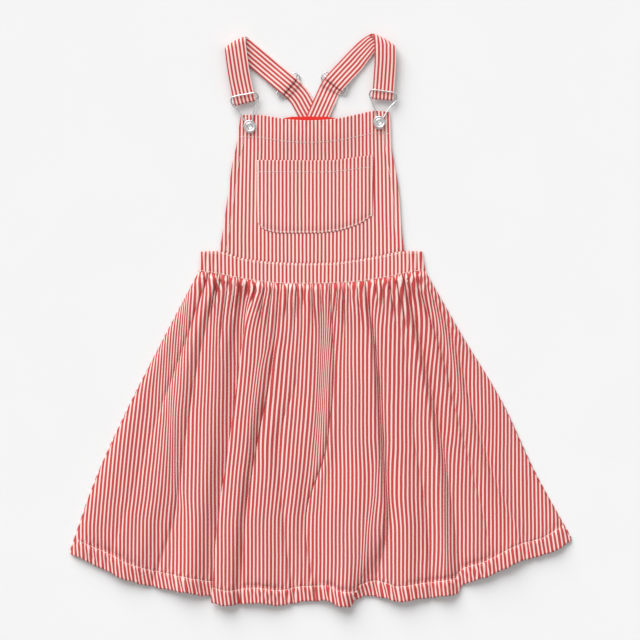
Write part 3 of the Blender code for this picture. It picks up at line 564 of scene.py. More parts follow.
def sew(name, lines, finish):
    """All the stitches of some paths as one piece. Each stitch is a small plump thread."""
    rings, sides = 5, 6
    bead = [(-1.0, 0.0, 0.0)]
    for ring in range(1, rings):
        along = -math.cos(math.pi * ring / rings)
        swell = math.sin(math.pi * ring / rings) ** 0.6
        for side in range(sides):
            angle = 2 * math.pi * side / sides
            bead.append((along, swell * math.cos(angle), swell * math.sin(angle)))
    bead.append((1.0, 0.0, 0.0))
    last = len(bead) - 1
    bead_faces = []
    for side in range(sides):
        after = (side + 1) % sides
        bead_faces.append((0, 1 + after, 1 + side))
        top = 1 + (rings - 2) * sides
        bead_faces.append((last, top + side, top + after))
        for ring in range(rings - 2):
            low = 1 + ring * sides
            bead_faces.append((low + side, low + after, low + sides + after, low + sides + side))
    bead = np.array(bead) * (STITCH_LENGTH / 2, STITCH_WIDTH / 2, STITCH_WIDTH * 0.4)
    points, faces, flat = [], [], []
    for path, normals in lines:
        for middle, heading, outward in zip(*stitch_line(path, normals)):
            across = np.cross(outward, heading)
            start = len(points) * len(bead)
            points.append(middle + outward * STITCH_PROUD + bead @ np.array([heading, across, outward]))
            faces += [tuple(start + i for i in face) for face in bead_faces]
            flat.append(bead + (start * 0.37, 0, 0))
    return new_piece(name, np.concatenate(points), faces, finish, np.concatenate(flat))


# ---------------------------------------------------------------- the skirt

SKIRT_COLUMNS = 460
SKIRT_ROWS = np.concatenate([np.linspace(0, 0.15, 30), np.linspace(0.165, 0.93, 48),
                             np.linspace(0.935, 0.965, 11), np.linspace(0.97, 1, 10)])
BACK_ROWS = np.concatenate([np.linspace(0, 0.93, 44), np.linspace(0.94, 1, 12)])
BACK_MIDDLE = BACK_WALL / 2
BACK_GATHERS = 30
CREASE_WIDTH = 1.8
CREASE_RELIEF = 1.45    # how much the tables' creases are raised, so that they show at this size
GATHER_REACH = 2.2
GATHER_RELIEF = 1.1
GATHER_CLEFT = 1.3      # how deep a gather's own line is, against the rolls beside it
BUNCH_FADE = 25.0       # a bunch comes and goes over this distance either side of its ends
STRIPE_BLUR = 22        # columns over which the stripes' own spacing is kept
SEAM_SWAY = 1.3         # how far the gathering pushes the stripes about at the waist seam
SEAM_REACH = 4.0        # the cloth is drawn in over this distance from the waist seam
SEAM_HEIGHT = 2.75
SEAM_OVERLAP = 1.6      # how far it goes up into the waistband's seam
SIDE_REACH = 5.0        # the cloth lies down over this distance from its side edges
HEM_HOLLOW = 1.8        # how far the cloth sinks behind the turned hem
HEM_GROOVE = 1.1        # how far the hem's stitching is drawn in
HEM_PUCKER = 0.5
HEM_CRUMPLE = 0.6

# The skirt's small uneven waves: height, size across, size down, seed.
SKIRT_WAVES = ((0.95, 8, 45, 1.0), (0.6, 4.1, 23, 5.0))
WAVES_START = (10, 40)  # how far below the waist seam they set in


def at_station(values, down):
    """The value this far down the skirt, from those at the five stations."""
    return smooth(list(zip(STATIONS, values)), down)


def inside_hem(distance, depth, soft=0.6):
    """1 within a hem of this depth and 0 beyond its stitching."""
    return fall(-soft, soft, distance - depth)


def beside(distance, reach):
    """A roll beside a crease: 0 at the crease, 1 at its crest and less and less beyond."""
    near = np.abs(distance) / reach
    return near * np.exp(1 - near)


def crease(distance, deep, left, right):
    """The cloth's rise and fall across a crease, with a roll on either side."""
    height, reach = (np.where(distance < 0, a, b) for a, b in zip(left, right))
    return height * beside(distance, reach) - deep * np.exp(-np.abs(distance) / CREASE_WIDTH)


def valley_creases(down, x, line_x):
    """The sharp creases of one row along the solid's own valleys."""
    height = np.zeros_like(x)
    for name, strength, deep, left, right in CREASES:
        share = CREASE_RELIEF * float(at_station(strength, down))
        height += share * crease(x - line_x[FOLD_NAMES.index(name)], deep, left, right)
    return height


def gather_creases(x, distance):
    """The gathers that fan out below the waist seam. Each one opens and fades downwards."""
    height = np.zeros_like(x)
    for top_x, low_x, length, depth in GATHERS:
        share = distance / length
        away = x - (top_x + (low_x - top_x) * share)
        reach = GATHER_REACH * (1 + share)
        roll = beside(away, reach) - GATHER_CLEFT * np.exp(-np.abs(away) / (0.5 * reach))
        height += GATHER_RELIEF * fall(0.45, 1.1, share) * depth * roll
    return height


def seam_crimps(waist_x, distance):
    """Fine uneven puckers where the gathered edge is sewn in."""
    place = (waist_x - waist_x[0]) / (waist_x[-1] - waist_x[0]) * CRIMPS
    place = place + 0.35 * np.sin(2.9 * place) + 0.25 * np.sin(0.9 * place + 2)
    reach = 13 + 8 * np.sin(1.9 * np.floor(place)) + 4 * np.sin(4.3 * np.floor(place))
    return 0.5 * (2 * np.abs(np.sin(math.pi * place)) ** 0.8 - 1) * fall(0.2, 1.0, distance / reach)


def across_cloth(table, x, y):
    """How far across the flat cloth the places of one row lie, from stripes followed up the skirt."""
    low, middle, high = y.min(), y.mean(), y.max()
    flat = [stripe[0] - CENTRE_FRONT_X for stripe in table]
    found = []
    for at in (low, middle, high):
        places = [float(smooth(list(zip(STRIPE_HEIGHTS, stripe)), at)) for stripe in table]
        found.append(smooth(list(zip(places, flat)), x))
    if high - low < 1e-6:
        return found[1]
    t = (y - low) / (high - low)
    m = (middle - low) / (high - low)
    return np.where(t < m, found[0] + (found[1] - found[0]) * t / m,
                    found[1] + (found[2] - found[1]) * (t - m) / (1 - m))


def bunched(x, y):
    """Extra width of cloth taken in where it is steep or crumpled."""
    extra = np.zeros_like(x)
    for line, taken, distance in BUNCHES:
        foot, top = line[0][0], line[-1][0]
        ends = step(foot - BUNCH_FADE, foot + BUNCH_FADE, y) * fall(top - BUNCH_FADE, top + BUNCH_FADE, y)
        away = (x - smooth(line, y)) / distance
        extra += taken * ends * away / (1 + away ** 2)
    return extra


def hem_waves(x, from_hem):
    """How much of each place is turned hem, its slanting waves, and where it is crumpled."""
    hem = inside_hem(from_hem, HEM_DEPTH, 0.8)
    slant = np.sin(x / 1.5 + from_hem * 0.35 * np.sin(x / 37) + 2.2 * np.sin(x / 23))
    crumpled = np.maximum(np.sin(x / 13 + 2 * np.sin(x / 37)), 0)
    return hem, slant, crumpled


def hem_shaped(z, x, from_hem, hem, slant):
    """The cloth with the turned hem's puckers, its stitched groove and the hollows behind it."""
    z = z + hem * HEM_PUCKER * slant * step(0, 4, from_hem) * (0.6 + 0.4 * np.sin(x / 14))
    z = z + HEM_PUCKER * slant * dent(from_hem - HEM_DEPTH - 5, 5)
    z = z - HEM_GROOVE * dent(from_hem - HEM_DEPTH, 1.5)
    hollow = np.maximum(0.35 + np.sin(x / 21 + 1.4 * np.sin(x / 53)), 0)
    return z - HEM_HOLLOW * hollow * dent(from_hem - HEM_DEPTH - 3, 3.5)


def laid_down(z, from_edge, distance, hem):
    """The cloth kept clear of the back panel, drawn in at the waist seam and flat at its sides."""
    floor = BACK_WALL + 0.1 + SKIRT_WALL / 2 + hem * 0.4
    z = floor + np.where(z - floor > 1, z - floor, np.exp(np.minimum(z - floor, 1) - 1))
    z = between(z, SEAM_HEIGHT + 0.3 * np.clip(z - 4, -1, 3), fall(0, SEAM_REACH, distance))
    return between(z, np.minimum(z, floor), fall(0, SIDE_REACH, from_edge))


def stripe_places(x, y, z, foot, lip):
    """How far across the flat cloth each place of one row lies, and how much spare width bulky
    cloth has there. The cloth between the tuck's foot and lip is hidden."""
    arc = np.concatenate([[0], np.cumsum(np.hypot(np.diff(x), np.diff(z)))])
    spare = arc - np.concatenate([[0], np.cumsum(np.abs(np.diff(x)))])
    window = np.hanning(2 * STRIPE_BLUR + 1) / STRIPE_BLUR
    trend = np.convolve(np.pad(spare, STRIPE_BLUR, mode="edge"), window, "valid")
    u = np.empty_like(x)
    u[:foot + 1] = across_cloth(STRIPES_LEFT, x[:foot + 1], y[:foot + 1]) - TUCKED_CLOTH
    u[lip:] = across_cloth(STRIPES_RIGHT, x[lip:], y[lip:])
    u[foot:lip + 1] = np.interp(arc[foot:lip + 1], (arc[foot], arc[lip]), (u[foot], u[lip]))
    return u, spare - trend


def seam_shifted(u, waist_x, distance):
    """The stripes as the gathering pushes them about, just below the waist seam."""
    u = u + SEAM_SWAY * np.sin(waist_x / 2.3 + 1.7 * np.sin(waist_x / 9)) * np.exp(-distance / 7)
    return u + 0.6 * SEAM_SWAY * np.sin(waist_x / 0.9 + distance / 3) * np.exp(-distance / 4)


def hem_shifted(u, x, from_hem, hem, slant, crumpled):
    """The stripes as the turning of the hem and its crumples shift them."""
    u = u - np.maximum(HEM_DEPTH - from_hem, 0) * (0.13 + 0.08 * np.sin(x / 41))
    u = u + HEM_PUCKER * slant * dent(from_hem - HEM_DEPTH, 5)
    return u + 0.7 * hem * crumpled * np.sin(x / 1.7 + from_hem / 5)


def skirt_front_sheet():
    """The front panel and the length of each of its columns, from the waist seam to the hem."""
    starts = np.cumsum((0,) + FOLD_CELLS[:-1]).astype(float)
    cells = np.linspace(0, starts[-1], SKIRT_COLUMNS + 1)
    columns = np.arange(len(cells))
    foot, lip = (int(np.searchsorted(cells, starts[FOLD_NAMES.index(name)]))
                 for name in ("tuck foot", "tuck lip"))
    waist_x, hem_x = (through(starts, np.array([line[at] for line in FOLD_X], float), cells)
                      for at in (0, -1))
    waist_y = smooth(WAIST_SEAM, waist_x) - SEAM_GAP
    hem_y = np.where(columns < (foot + lip) / 2, smooth(HEM_LEFT, hem_x), smooth(HEM_RIGHT, hem_x))
    length = waist_y - hem_y
    scallop = 0.5 * np.sin(hem_x / 4.4 + 1.6 * np.sin(hem_x / 31)) + 0.35 * np.sin(hem_x / 2.1)
    in_tuck = np.clip(np.minimum(columns - foot + 14, lip + 6 - columns) / 8, 0, 1)
    grid, us = [], []
    for down in SKIRT_ROWS:
        line_x, line_z = (np.array([at_station(values, down) for values in lines])
                          for lines in (FOLD_X, FOLD_HEIGHTS))
        x, z = through(starts, line_x, cells), through(starts, line_z, cells)
        distance = down * length
        from_hem = (1 - down) * length
        y = waist_y - distance
        open_cloth = 1 - in_tuck * step(0, 30, distance)
        detail = valley_creases(down, x, line_x) + gather_creases(x, distance)
        for height, wide, long, seed in SKIRT_WAVES:
            detail += height * ripple(x / wide, y / long, seed) * step(*WAVES_START, distance)
        hem, slant, crumpled = hem_waves(x, from_hem)
        z = z + detail * open_cloth + seam_crimps(waist_x, distance)
        z = hem_shaped(z, x, from_hem, hem, slant)
        z = laid_down(z, np.minimum(x - line_x[0], line_x[-1] - x), distance, hem)
        gathered = 0.15 + 0.4 * np.exp(-distance / 30)
        u, spare = stripe_places(x, y, z, foot, lip)
        u += spare * gathered * open_cloth + bunched(x, y)
        u += 0.35 * ripple(x / 22, y / 31, 2.0)
        us.append(hem_shifted(seam_shifted(u, waist_x, distance), x, from_hem, hem, slant, crumpled))
        z = z + HEM_CRUMPLE * hem * crumpled * np.sin(x / 2.4 + from_hem / 6) * step(1, 5, from_hem)
        y = y + SEAM_OVERLAP * fall(0, SEAM_REACH, distance) + scallop * step(0.94, 1, down)
        grid.append(np.column_stack([x, y, z]))
    grid = np.array(grid)[::-1]
    hem = inside_hem((1 - SKIRT_ROWS[::-1])[:, None] * length[None], HEM_DEPTH, 0.8)
    up = 0.45 + 0.5 * hem
    down = 0.35 + 0.5 * hem
    up[0] = down[0] = 0.3
    return Sheet(grid, np.array(us)[::-1], grid[..., 1], up, down), length


def skirt_back_sheet():
    """The back panel, flat and plain, with faint gathers at its waist."""
    across = spread(150, 0.002)
    left, right = FOLD_X[0], FOLD_X[-1]
    top_x = between(left[0] + 1, right[0] - 1, across)
    hem_x = between(left[-1] + 1, right[-1] - 1, across)
    grid = []
    for down in BACK_ROWS:
        x = between(at_station(left, down) + 0.6, at_station(right, down) - 0.6, across)
        y = between(smooth(WAIST_SEAM, top_x) + 0.6, smooth(BACK_HEM, hem_x), down)
        gather = 0.22 * np.sin(across * 2 * math.pi * BACK_GATHERS) * fall(0.03, 0.25, down)
        fold = 0.2 * ripple(x / 17, y / 60, 4.0)
        grid.append(np.column_stack([x, y, BACK_MIDDLE + gather + fold]))
    grid = np.array(grid)[::-1]
    u = (grid[..., 0] - CENTRE_FRONT_X) * 1.04
    above = BACK_WALL - 0.03 - grid[..., 2]
    return Sheet(grid, u, grid[..., 1], above, np.minimum(grid[..., 2], BACK_MIDDLE))


def make_skirt(cloth, thread):
    front, length = skirt_front_sheet()
    piece = front.piece("skirt_front_cloth", cloth)
    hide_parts("skirt_front")
    columns = np.linspace(3, SKIRT_COLUMNS - 3, 1400)
    down = 1 - HEM_DEPTH / np.interp(columns, np.arange(len(length)), length)
    sewn = [front.at(len(SKIRT_ROWS) - 1 - row_of(SKIRT_ROWS, down), columns)]
    sew("skirt_hem_stitches", sewn, thread)

    piece = skirt_back_sheet().piece("skirt_back_cloth", cloth)
    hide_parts("skirt_back")


# ---------------------------------------------------------------- the waistband

BAND_DEPTH = 27.0
BAND_STITCH = 2.2       # from the band's edges to its stitching
BAND_FLOOR = 2.3        # the least height of its middle above the floor
BAND_EASE = 0.985       # the cloth's own width as a share of the width it covers
ELASTIC_PITCH = 8.8


def band_grid(across, up, inset):
    x_top = between(BAND_TOP[0][0] + inset, BAND_TOP[-1][0] - inset, across)
    x_foot = between(WAIST_SEAM[0][0] + inset, WAIST_SEAM[-1][0] - inset, across)
    top = np.column_stack([x_top, smooth(BAND_TOP, x_top) - inset])
    foot = np.column_stack([x_foot, smooth(WAIST_SEAM, x_foot)])
    return np.array([between(foot, top, share) for share in up])


def make_waistband(cloth, thread):
    across, up = spread(330, 0.0016), spread(26, 0.02)
    flat = band_grid(across, up, 0)
    x, y = flat[..., 0], flat[..., 1]
    elastic = step(0.72, 0.95, np.abs((x + 10) / 140))
    from_foot = up[:, None] * BAND_DEPTH * np.ones_like(x)
    near = np.minimum(from_foot, BAND_DEPTH - from_foot)
    ends = np.minimum(x - x[:, :1], x[:, -1:] - x)
    wave = ELASTIC_RISE * elastic * np.sin(x * 2 * math.pi / ELASTIC_PITCH)
    height = BACK_WALL + SEAM_GAP + BAND_WALL / 2 + 0.15 + ELASTIC_RISE * elastic + wave
    height += 0.22 * np.sin(x / 1.3 + 2 * np.sin(x / 17)) * fall(1.5, 7, near)
    height -= 0.22 * dent(near - BAND_STITCH, 0.9)
    height -= 0.35 * fall(0, 1.2, near)
    height = np.maximum(height - 0.8 * fall(0, 2.5, ends), BAND_FLOOR)
    wander = 0.3 * ripple(x / 30, y / 9, 3.0)
    u = x * BAND_EASE + 1.2 + wander + 0.35 * elastic * np.sin(x * 0.7 + from_foot * 0.12)
    above = 0.6 * step(0, 0.03, np.minimum(across, 1 - across))[None]
    above = 0.45 + above * step(0, 0.06, np.minimum(up, 1 - up))[:, None]
    band = Sheet(np.dstack([flat, height]), u, y, above, 0.5)
    piece = band.piece("waistband_front_cloth", cloth)
    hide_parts("waistband_front")
    columns = np.linspace(4, len(across) - 5, 900)
    share = BAND_STITCH / BAND_DEPTH
    sewn = [band.at(np.full(len(columns), row_of(up, at)), columns) for at in (share, 1 - share)]
    sew("waistband_stitches", sewn, thread)

    across, up = spread(120, 0.004), spread(12, 0.03)
    flat = band_grid(across, up, 1.0)
    wave = 0.15 * np.sin(flat[..., 0] * 2 * math.pi / 8.0)
    grid = np.dstack([flat, np.full(flat.shape[:2], BACK_MIDDLE)])
    back = Sheet(grid, flat[..., 0], flat[..., 1], 0.7 + wave, 0.7)
    piece = back.piece("waistband_back_cloth", cloth)
    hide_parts("waistband_back")


# ---------------------------------------------------------------- the bib, its pocket and the yoke

BIB_FOOT_HEIGHT = 2.55  # the height of the bib's foot, in the waistband's seam
POCKET_STITCH = 2.0     # from the pocket's edge to its stitching
YOKE_RISE = 1.9         # how far the yoke rises at its top, where the straps are sewn on


def bib_height(x, y):
    """The middle of the bib's cloth: it lies on the yoke, and rises over the strap ends."""
    over_straps = step(190, 238, y) * np.exp(-(((x - YOKE_MIDDLE_X) / 58) ** 4))
    drape = BIB_DRAPE * np.sin(x / 23 + y / 41) * np.sin(y / 33 - x / 60) * step(76, 100, y)
    rest = BACK_WALL + SEAM_GAP + BIB_HEM_WALL / 2 + BIB_DRAPE
    return rest + BIB_LIFT * over_straps + drape


def bib_drape(x, y):
    """The small relief that the bib and the pocket on it share."""
    return 0.3 * ripple(x / 8, y / 26, 2.0)


def panel(rows, foot_y, top_y, place_x):
    """A panel that lies as the bib does: its x, y and z, and how far each place is from the panel's
    top, its foot and the nearer side."""
    grid = []
    for up in rows:
        y = between(foot_y, top_y, up)
        x = place_x(y, up)
        grid.append(np.column_stack([x, y, bib_height(x, y)]))
    x, y, z = np.moveaxis(np.array(grid), 2, 0)
    from_top = (1 - rows)[:, None] * (top_y - foot_y)[None]
    from_foot = rows[:, None] * (top_y - foot_y)[None]
    return x, y, z, from_top, from_foot, np.minimum(x - x[:, :1], x[:, -1:] - x)


def sewn_sides(sheet, across, x, run, inset):
    """The stitching along both sides of a panel, this far in from its edges."""
    share = inset / np.interp(run, np.arange(len(x)), x[:, -1] - x[:, 0])
    return [sheet.at(run, row_of(across, at)) for at in (share, 1 - share)]


def make_bib(cloth, thread):
    across, rows = spread(190, 0.0022), spread(170, 0.0025)
    foot_x = between(BIB_LEFT[0][1], BIB_RIGHT[0][1], across)
    top_x = between(BIB_LEFT[-1][1], BIB_RIGHT[-1][1], across)
    foot_y = smooth(BAND_TOP, foot_x) - 1.2
    top_y = smooth(BIB_TOP, top_x)
    x, y, z, from_top, from_foot, from_side = panel(
        rows, foot_y, top_y, lambda y, up: between(smooth(BIB_LEFT, y), smooth(BIB_RIGHT, y), across))
    hem = np.maximum(inside_hem(from_top, BIB_TOP_HEM), inside_hem(from_side, BIB_SIDE_HEM))
    z = z + bib_drape(x, y) * step(0, 12, from_side)
    z -= 0.05 * dent(from_top - BIB_TOP_HEM, 0.9)
    z -= 0.2 * dent(from_side - BIB_SIDE_HEM, 0.8) * step(2, 6, from_top)
    z += 0.3 * np.sin(x / 1.1 + 2 * np.sin(x / 19)) * fall(1, 9, from_top)
    z += 0.12 * np.sin(x / 1.3 + 2 * np.sin(x / 15)) * fall(1, 8, from_foot)
    z = between(z, BIB_FOOT_HEIGHT, fall(0, 4, from_foot))
    up = np.minimum(0.35 + 0.35 * hem, 0.3 + np.minimum(from_top, from_side))
    half = (x[:, -1:] - x[:, :1]) / 2
    lean = BIB_LEAN * ((x - x[:, :1]) / half - 1) ** 3 * (half - half.mean())
    u = x - lean + 0.45 * ripple(x / 38, y / 27, 4.0) + 0.4
    bib = Sheet(np.dstack([x, y, z]), u, y, up, 0.35 + 0.25 * hem * step(2, 6, from_foot))
    piece = bib.piece("bib_front_cloth", cloth)
    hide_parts("bib_front")
    columns = np.linspace(3, len(across) - 4, 700)
    height = np.interp(columns, np.arange(len(across)), top_y - foot_y)
    sewn = [bib.at(row_of(rows, 1 - BIB_TOP_HEM / height), columns)]
    sewn += sewn_sides(bib, across, x, np.linspace(4, len(rows) - 4, 700), BIB_SIDE_HEM)
    sew("bib_stitches", sewn, thread)


def make_pocket(cloth, thread):
    across, rows = spread(120, 0.004), spread(96, 0.005)
    foot_x = between(*POCKET_FOOT_SIDES, across)
    top_x = between(*POCKET_TOP_SIDES, across)
    foot_y = smooth(POCKET_FOOT, foot_x)
    top_y = smooth(POCKET_TOP, top_x)
    x, y, z, from_top, from_foot, from_side = panel(
        rows, foot_y, top_y, lambda y, up: between(foot_x, top_x, up))
    edge = np.minimum(from_foot, from_side)
    z = z + (BIB_HEM_WALL / 2 + SEAM_GAP + 0.35 + bib_drape(x, y))
    z += (0.3 + 0.15 * ripple(x / 9, y / 21, 3.0)) * step(2, 16, edge)
    z -= POCKET_SETTLE * fall(0, 10, edge)
    z -= 0.08 * (dent(edge - POCKET_STITCH, 0.8) + dent(from_top - POCKET_HEM, 0.9))
    up = np.minimum(0.35 + 0.3 * inside_hem(from_top, POCKET_HEM), 0.2 + np.minimum(from_top, edge))
    pocket = Sheet(np.dstack([x, y, z]), x + 1.9, y, up, 0.3)
    piece = pocket.piece("bib_pocket_cloth", cloth)
    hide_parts("bib_pocket")
    columns = np.linspace(2.5, len(across) - 3.5, 500)
    height = np.interp(columns, np.arange(len(across)), top_y - foot_y)
    sewn = [pocket.at(row_of(rows, at), columns) for at in (1 - POCKET_HEM / height, POCKET_STITCH / height)]
    sewn += sewn_sides(pocket, across, x, np.linspace(3, len(rows) - 2, 400), POCKET_STITCH)
    sew("pocket_stitches", sewn, thread)


def make_yoke(cloth, tape):
    across, rows = spread(90, 0.005), spread(80, 0.004)
    side = 2 * across - 1
    foot_y = smooth(BAND_TOP, YOKE_MIDDLE_X + YOKE_HALF_FOOT * side) - 0.4
    grid = []
    for up in rows:
        half = YOKE_HALF_FOOT + (YOKE_HALF_TOP - YOKE_HALF_FOOT) * math.sin(up * math.pi / 2)
        height = np.full(len(side), BACK_MIDDLE + YOKE_RISE * float(step(0.84, 1, up)))
        grid.append(np.column_stack([YOKE_MIDDLE_X + half * side, between(foot_y, YOKE_TOP_Y, up), height]))
    grid = np.array(grid)
    x, y = grid[..., 0], grid[..., 1]
    piece = Sheet(grid, x, y, 0.62 - 0.12 * ripple(x / 14, y / 30, 6.0), 0.7).piece("bib_back_cloth", cloth)
    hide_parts("bib_back")

    across, rows = spread(70, 0.006), spread(10, 0.04)
    side = 2 * across - 1
    x = YOKE_MIDDLE_X + (YOKE_HALF_TOP + 1) * side
    middle = 2 * (STRAP_WALL + SEAM_GAP) + BINDING_WALL / 2 + 0.1
    grid = []
    for up in rows:
        taper = 1.6 * np.abs(side) ** 3 * up
        y = between(BINDING_FOOT_Y, BINDING_TOP_Y, up) - taper + 0.25 * np.sin(x / 3.1) * up
        crown = 0.45 * math.sin(math.pi * up)
        grid.append(np.column_stack([x, y, np.full(len(x), middle + crown)]))
    grid = np.array(grid)
    binding = Sheet(grid, grid[..., 0], grid[..., 1], 0.45, 0.4)
    piece = binding.piece("back_binding_tape", tape, "red_tape")
    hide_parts("back_binding")


# ---------------------------------------------------------------- the straps

STRAP_STITCH = 2.2      # from the strap's edge to its stitching
BAR_RAMP = 34.0         # the inner layer starts to rise this far before the slider's bar
WIRE_AHEAD = 6.3        # from the slider's bar to the wire that the outer layer goes over
OVER_WIRE_RISE = 2.5
OVER_WIRE_REACH = 3.4
PAST_SLIDER = 12.4


def heading(degrees):
    angle = math.radians(degrees)
    return np.array([math.cos(angle), math.sin(angle)])


def walk(start, first_heading, sections, distance):
    """The place and heading this far along a leg whose sections each turn evenly."""
    place = np.array(start, float)
    angle = first_heading
    left = distance
    for length, turn in sections:
        stretch = min(left, length)
        steps = max(2, int(stretch / 2) + 1)
        bend = turn / length * (stretch / steps)
        for _ in range(steps):
            place = place + heading(angle + bend / 2) * (stretch / steps)
            angle += bend
        left -= stretch
        if left <= 0:
            break
    return place + heading(angle) * left, angle


class Strap:
    """A flat strap folded over the shoulder on a slanting axis, in two layers.

    Along is measured from the fold point, up over the shoulder, and is negative down the front leg.
    """

    def __init__(self, side):
        facts = STRAPS[side]
        self.facts = facts
        self.fold = np.array(facts["fold"])
        self.axis = heading(facts["fold_axis"])
        self.up = heading(facts["rising"])
        self.across = heading(facts["rising"] - 90)
        outward = np.array([-self.axis[1], self.axis[0]])
        self.outward = outward if outward[1] > 0 else -outward
        self.slant = float(self.up @ self.outward)
        self.straight = STRAP_WIDTH / 2 * abs(float(self.across @ self.outward)) / self.slant + 0.5
        self.loop = math.pi * LOOP_RADIUS / self.slant
        self.front_length = sum(length for length, _ in facts["front_leg"]) + self.straight

    def flat(self, along, over, height):
        """The fold itself: a point on the strap that far along and over to the right."""
        place = self.up * along + self.across * over
        on_axis = float(place @ self.axis)
        beyond = float(place @ self.outward)
        radius = LOOP_RADIUS + height
        middle = STRAP_WALL / 2 + LOOP_RADIUS
        if beyond <= 0:
            spot = self.fold + self.axis * on_axis + self.outward * beyond
            return spot, middle + radius
        if beyond < math.pi * LOOP_RADIUS:
            angle = beyond / LOOP_RADIUS
            spot = self.fold + self.axis * on_axis + self.outward * radius * math.sin(angle)
            return spot, middle + radius * math.cos(angle)
        back = beyond - math.pi * LOOP_RADIUS
        return self.fold + self.axis * on_axis - self.outward * back, middle - radius

    def leg(self, along, over):
        """The straight or bent leg beyond the fold, in the plan."""
        if along < 0:
            start = self.flat(-self.straight, 0, 0)[0]
            down = self.facts["rising"] - 180
            place, angle = walk(start, down, self.facts["front_leg"], -along - self.straight)
            return place + heading(angle + 90) * over
        start = self.flat(self.loop + self.straight, 0, 0)[0]
        down = 2 * self.facts["fold_axis"] - self.facts["rising"]
        distance = along - self.loop - self.straight
        place, angle = walk(start, down, self.facts["back_leg"], distance)
        return place + heading(angle + 90) * over

    def point(self, along, over, height):
        """Height is 0 for the outer layer and less for the layer inside it. Where the strap
        narrows, its left edge keeps its line. The fold bows, so its corners are rounded."""
        share = float(smooth(self.facts["narrow"], along))
        over = over * share - STRAP_WIDTH / 2 * (1 - share)
        at_fold = dent(along - self.loop / 2, self.loop)
        bow = FOLD_BOW * at_fold * (2 * over / STRAP_WIDTH) ** 2
        if -self.straight <= along <= self.loop + self.straight:
            place, z = self.flat(along, over, height)
        else:
            place = self.leg(along, over)
            z = self.flat(along, 0, height)[1]
        return np.array([*(place - self.outward * bow), z + self.rise(along, height)])

    def rise(self, along, height):
        """What the legs' heights depart by from the plain fold's."""
        inner = height < -0.5 * LAYER_STEP
        if along < 0:
            level = STRAP_WALL / 2 + 2 * LOOP_RADIUS + height
            turn = CLIP_WIRE + SEAM_GAP + STRAP_WALL / 2
            target = CLIP_BAR_Z + (-turn if inner else turn)
            return (target - level) * step(0, self.front_length, -along)
        beyond = along - self.loop
        slider = self.facts["slider_at"]
        if inner:
            over_bar = SLIDER_BAR_Z + SLIDER_WIRE + SEAM_GAP + STRAP_WALL / 2
            return (over_bar - STRAP_WALL / 2 - LAYER_STEP) * step(slider - BAR_RAMP, slider - 6, beyond)
        over_wire = OVER_WIRE_RISE * math.exp(-(((beyond - slider - WIRE_AHEAD) / OVER_WIRE_REACH) ** 4))
        return over_wire + smooth(self.facts["lift"], beyond)

    def sideways(self, along):
        """The direction across the strap at this place, in the plan."""
        edges = [self.point(along, over, 0)[:2] for over in (-1.0, 1.0)]
        return (edges[1] - edges[0]) / np.linalg.norm(edges[1] - edges[0])

    def end(self, over):
        """How far along the strap its sewn end lies, under the binding."""
        along = self.loop + 80.0
        while self.point(along, over, 0)[1] > STRAP_END_Y:
            along += 0.25
        return along


def turned(at, radius, centre_z, start, stop, count):
    """Places round a bar across the strap: along, and the height above the floor."""
    angles = np.linspace(math.radians(start), math.radians(stop), count)
    return [(at, radius * math.cos(a), centre_z + radius * math.sin(a)) for a in angles]


def strap_grid(strap, overs):
    """Rows across the strap, from its free end at the slider to its sewn end."""
    rows = []
    slider = strap.loop + strap.facts["slider_at"]
    bar_turn = SLIDER_WIRE + SEAM_GAP + STRAP_WALL / 2
    for at, reach, z in turned(slider, bar_turn, SLIDER_BAR_Z, -90, 60, 12):
        rows.append([np.array([*strap.point(at + reach, over, 0)[:2], z]) for over in overs])
    inner = list(np.linspace(slider, slider - BAR_RAMP, 16)) + [slider - 39, slider - 44]
    loop = list(np.linspace(strap.loop + strap.straight + 2, -strap.straight - 2, 56))
    front = list(np.linspace(-strap.straight - 5, -strap.front_length, 22))
    for along in inner + loop + front:
        rows.append([strap.point(along, over, -LAYER_STEP) for over in overs])
    clip_turn = CLIP_WIRE + SEAM_GAP + STRAP_WALL / 2
    for at, reach, z in turned(-strap.front_length, clip_turn, CLIP_BAR_Z, -60, 60, 10):
        rows.append([np.array([*strap.point(at - reach, over, 0)[:2], z]) for over in overs])
    for along in front[::-1] + loop[::-1]:
        rows.append([strap.point(along, over, 0) for over in overs])
    tail = list(np.linspace(strap.loop + strap.straight + 5, slider - 4, 18))
    first = slider + PAST_SLIDER
    tail += list(np.linspace(slider - 2, first, 13))
    for along in tail:
        rows.append([strap.point(along, over, 0) for over in overs])
    ends = [strap.end(over) for over in overs]
    for share in np.linspace(0.06, 1, 18):
        rows.append([strap.point(first + (end - first) * share, over, 0) for end, over in zip(ends, overs)])
    return np.array(rows)


def plan_frame(origin, towards):
    """Two directions in the plan: across, and along towards the other point."""
    along = (towards - origin) / np.linalg.norm(towards - origin)
    return np.array([along[1], -along[0]]), along


def laid_wire(half, origin, across, along, base):
    """A closed wire path from the table of one half."""
    whole = list(half) + [(-x, y, z) for x, y, z in half[-2:0:-1]]
    return np.array([[*(origin + across * x + along * y), base + z] for x, y, z in whole])


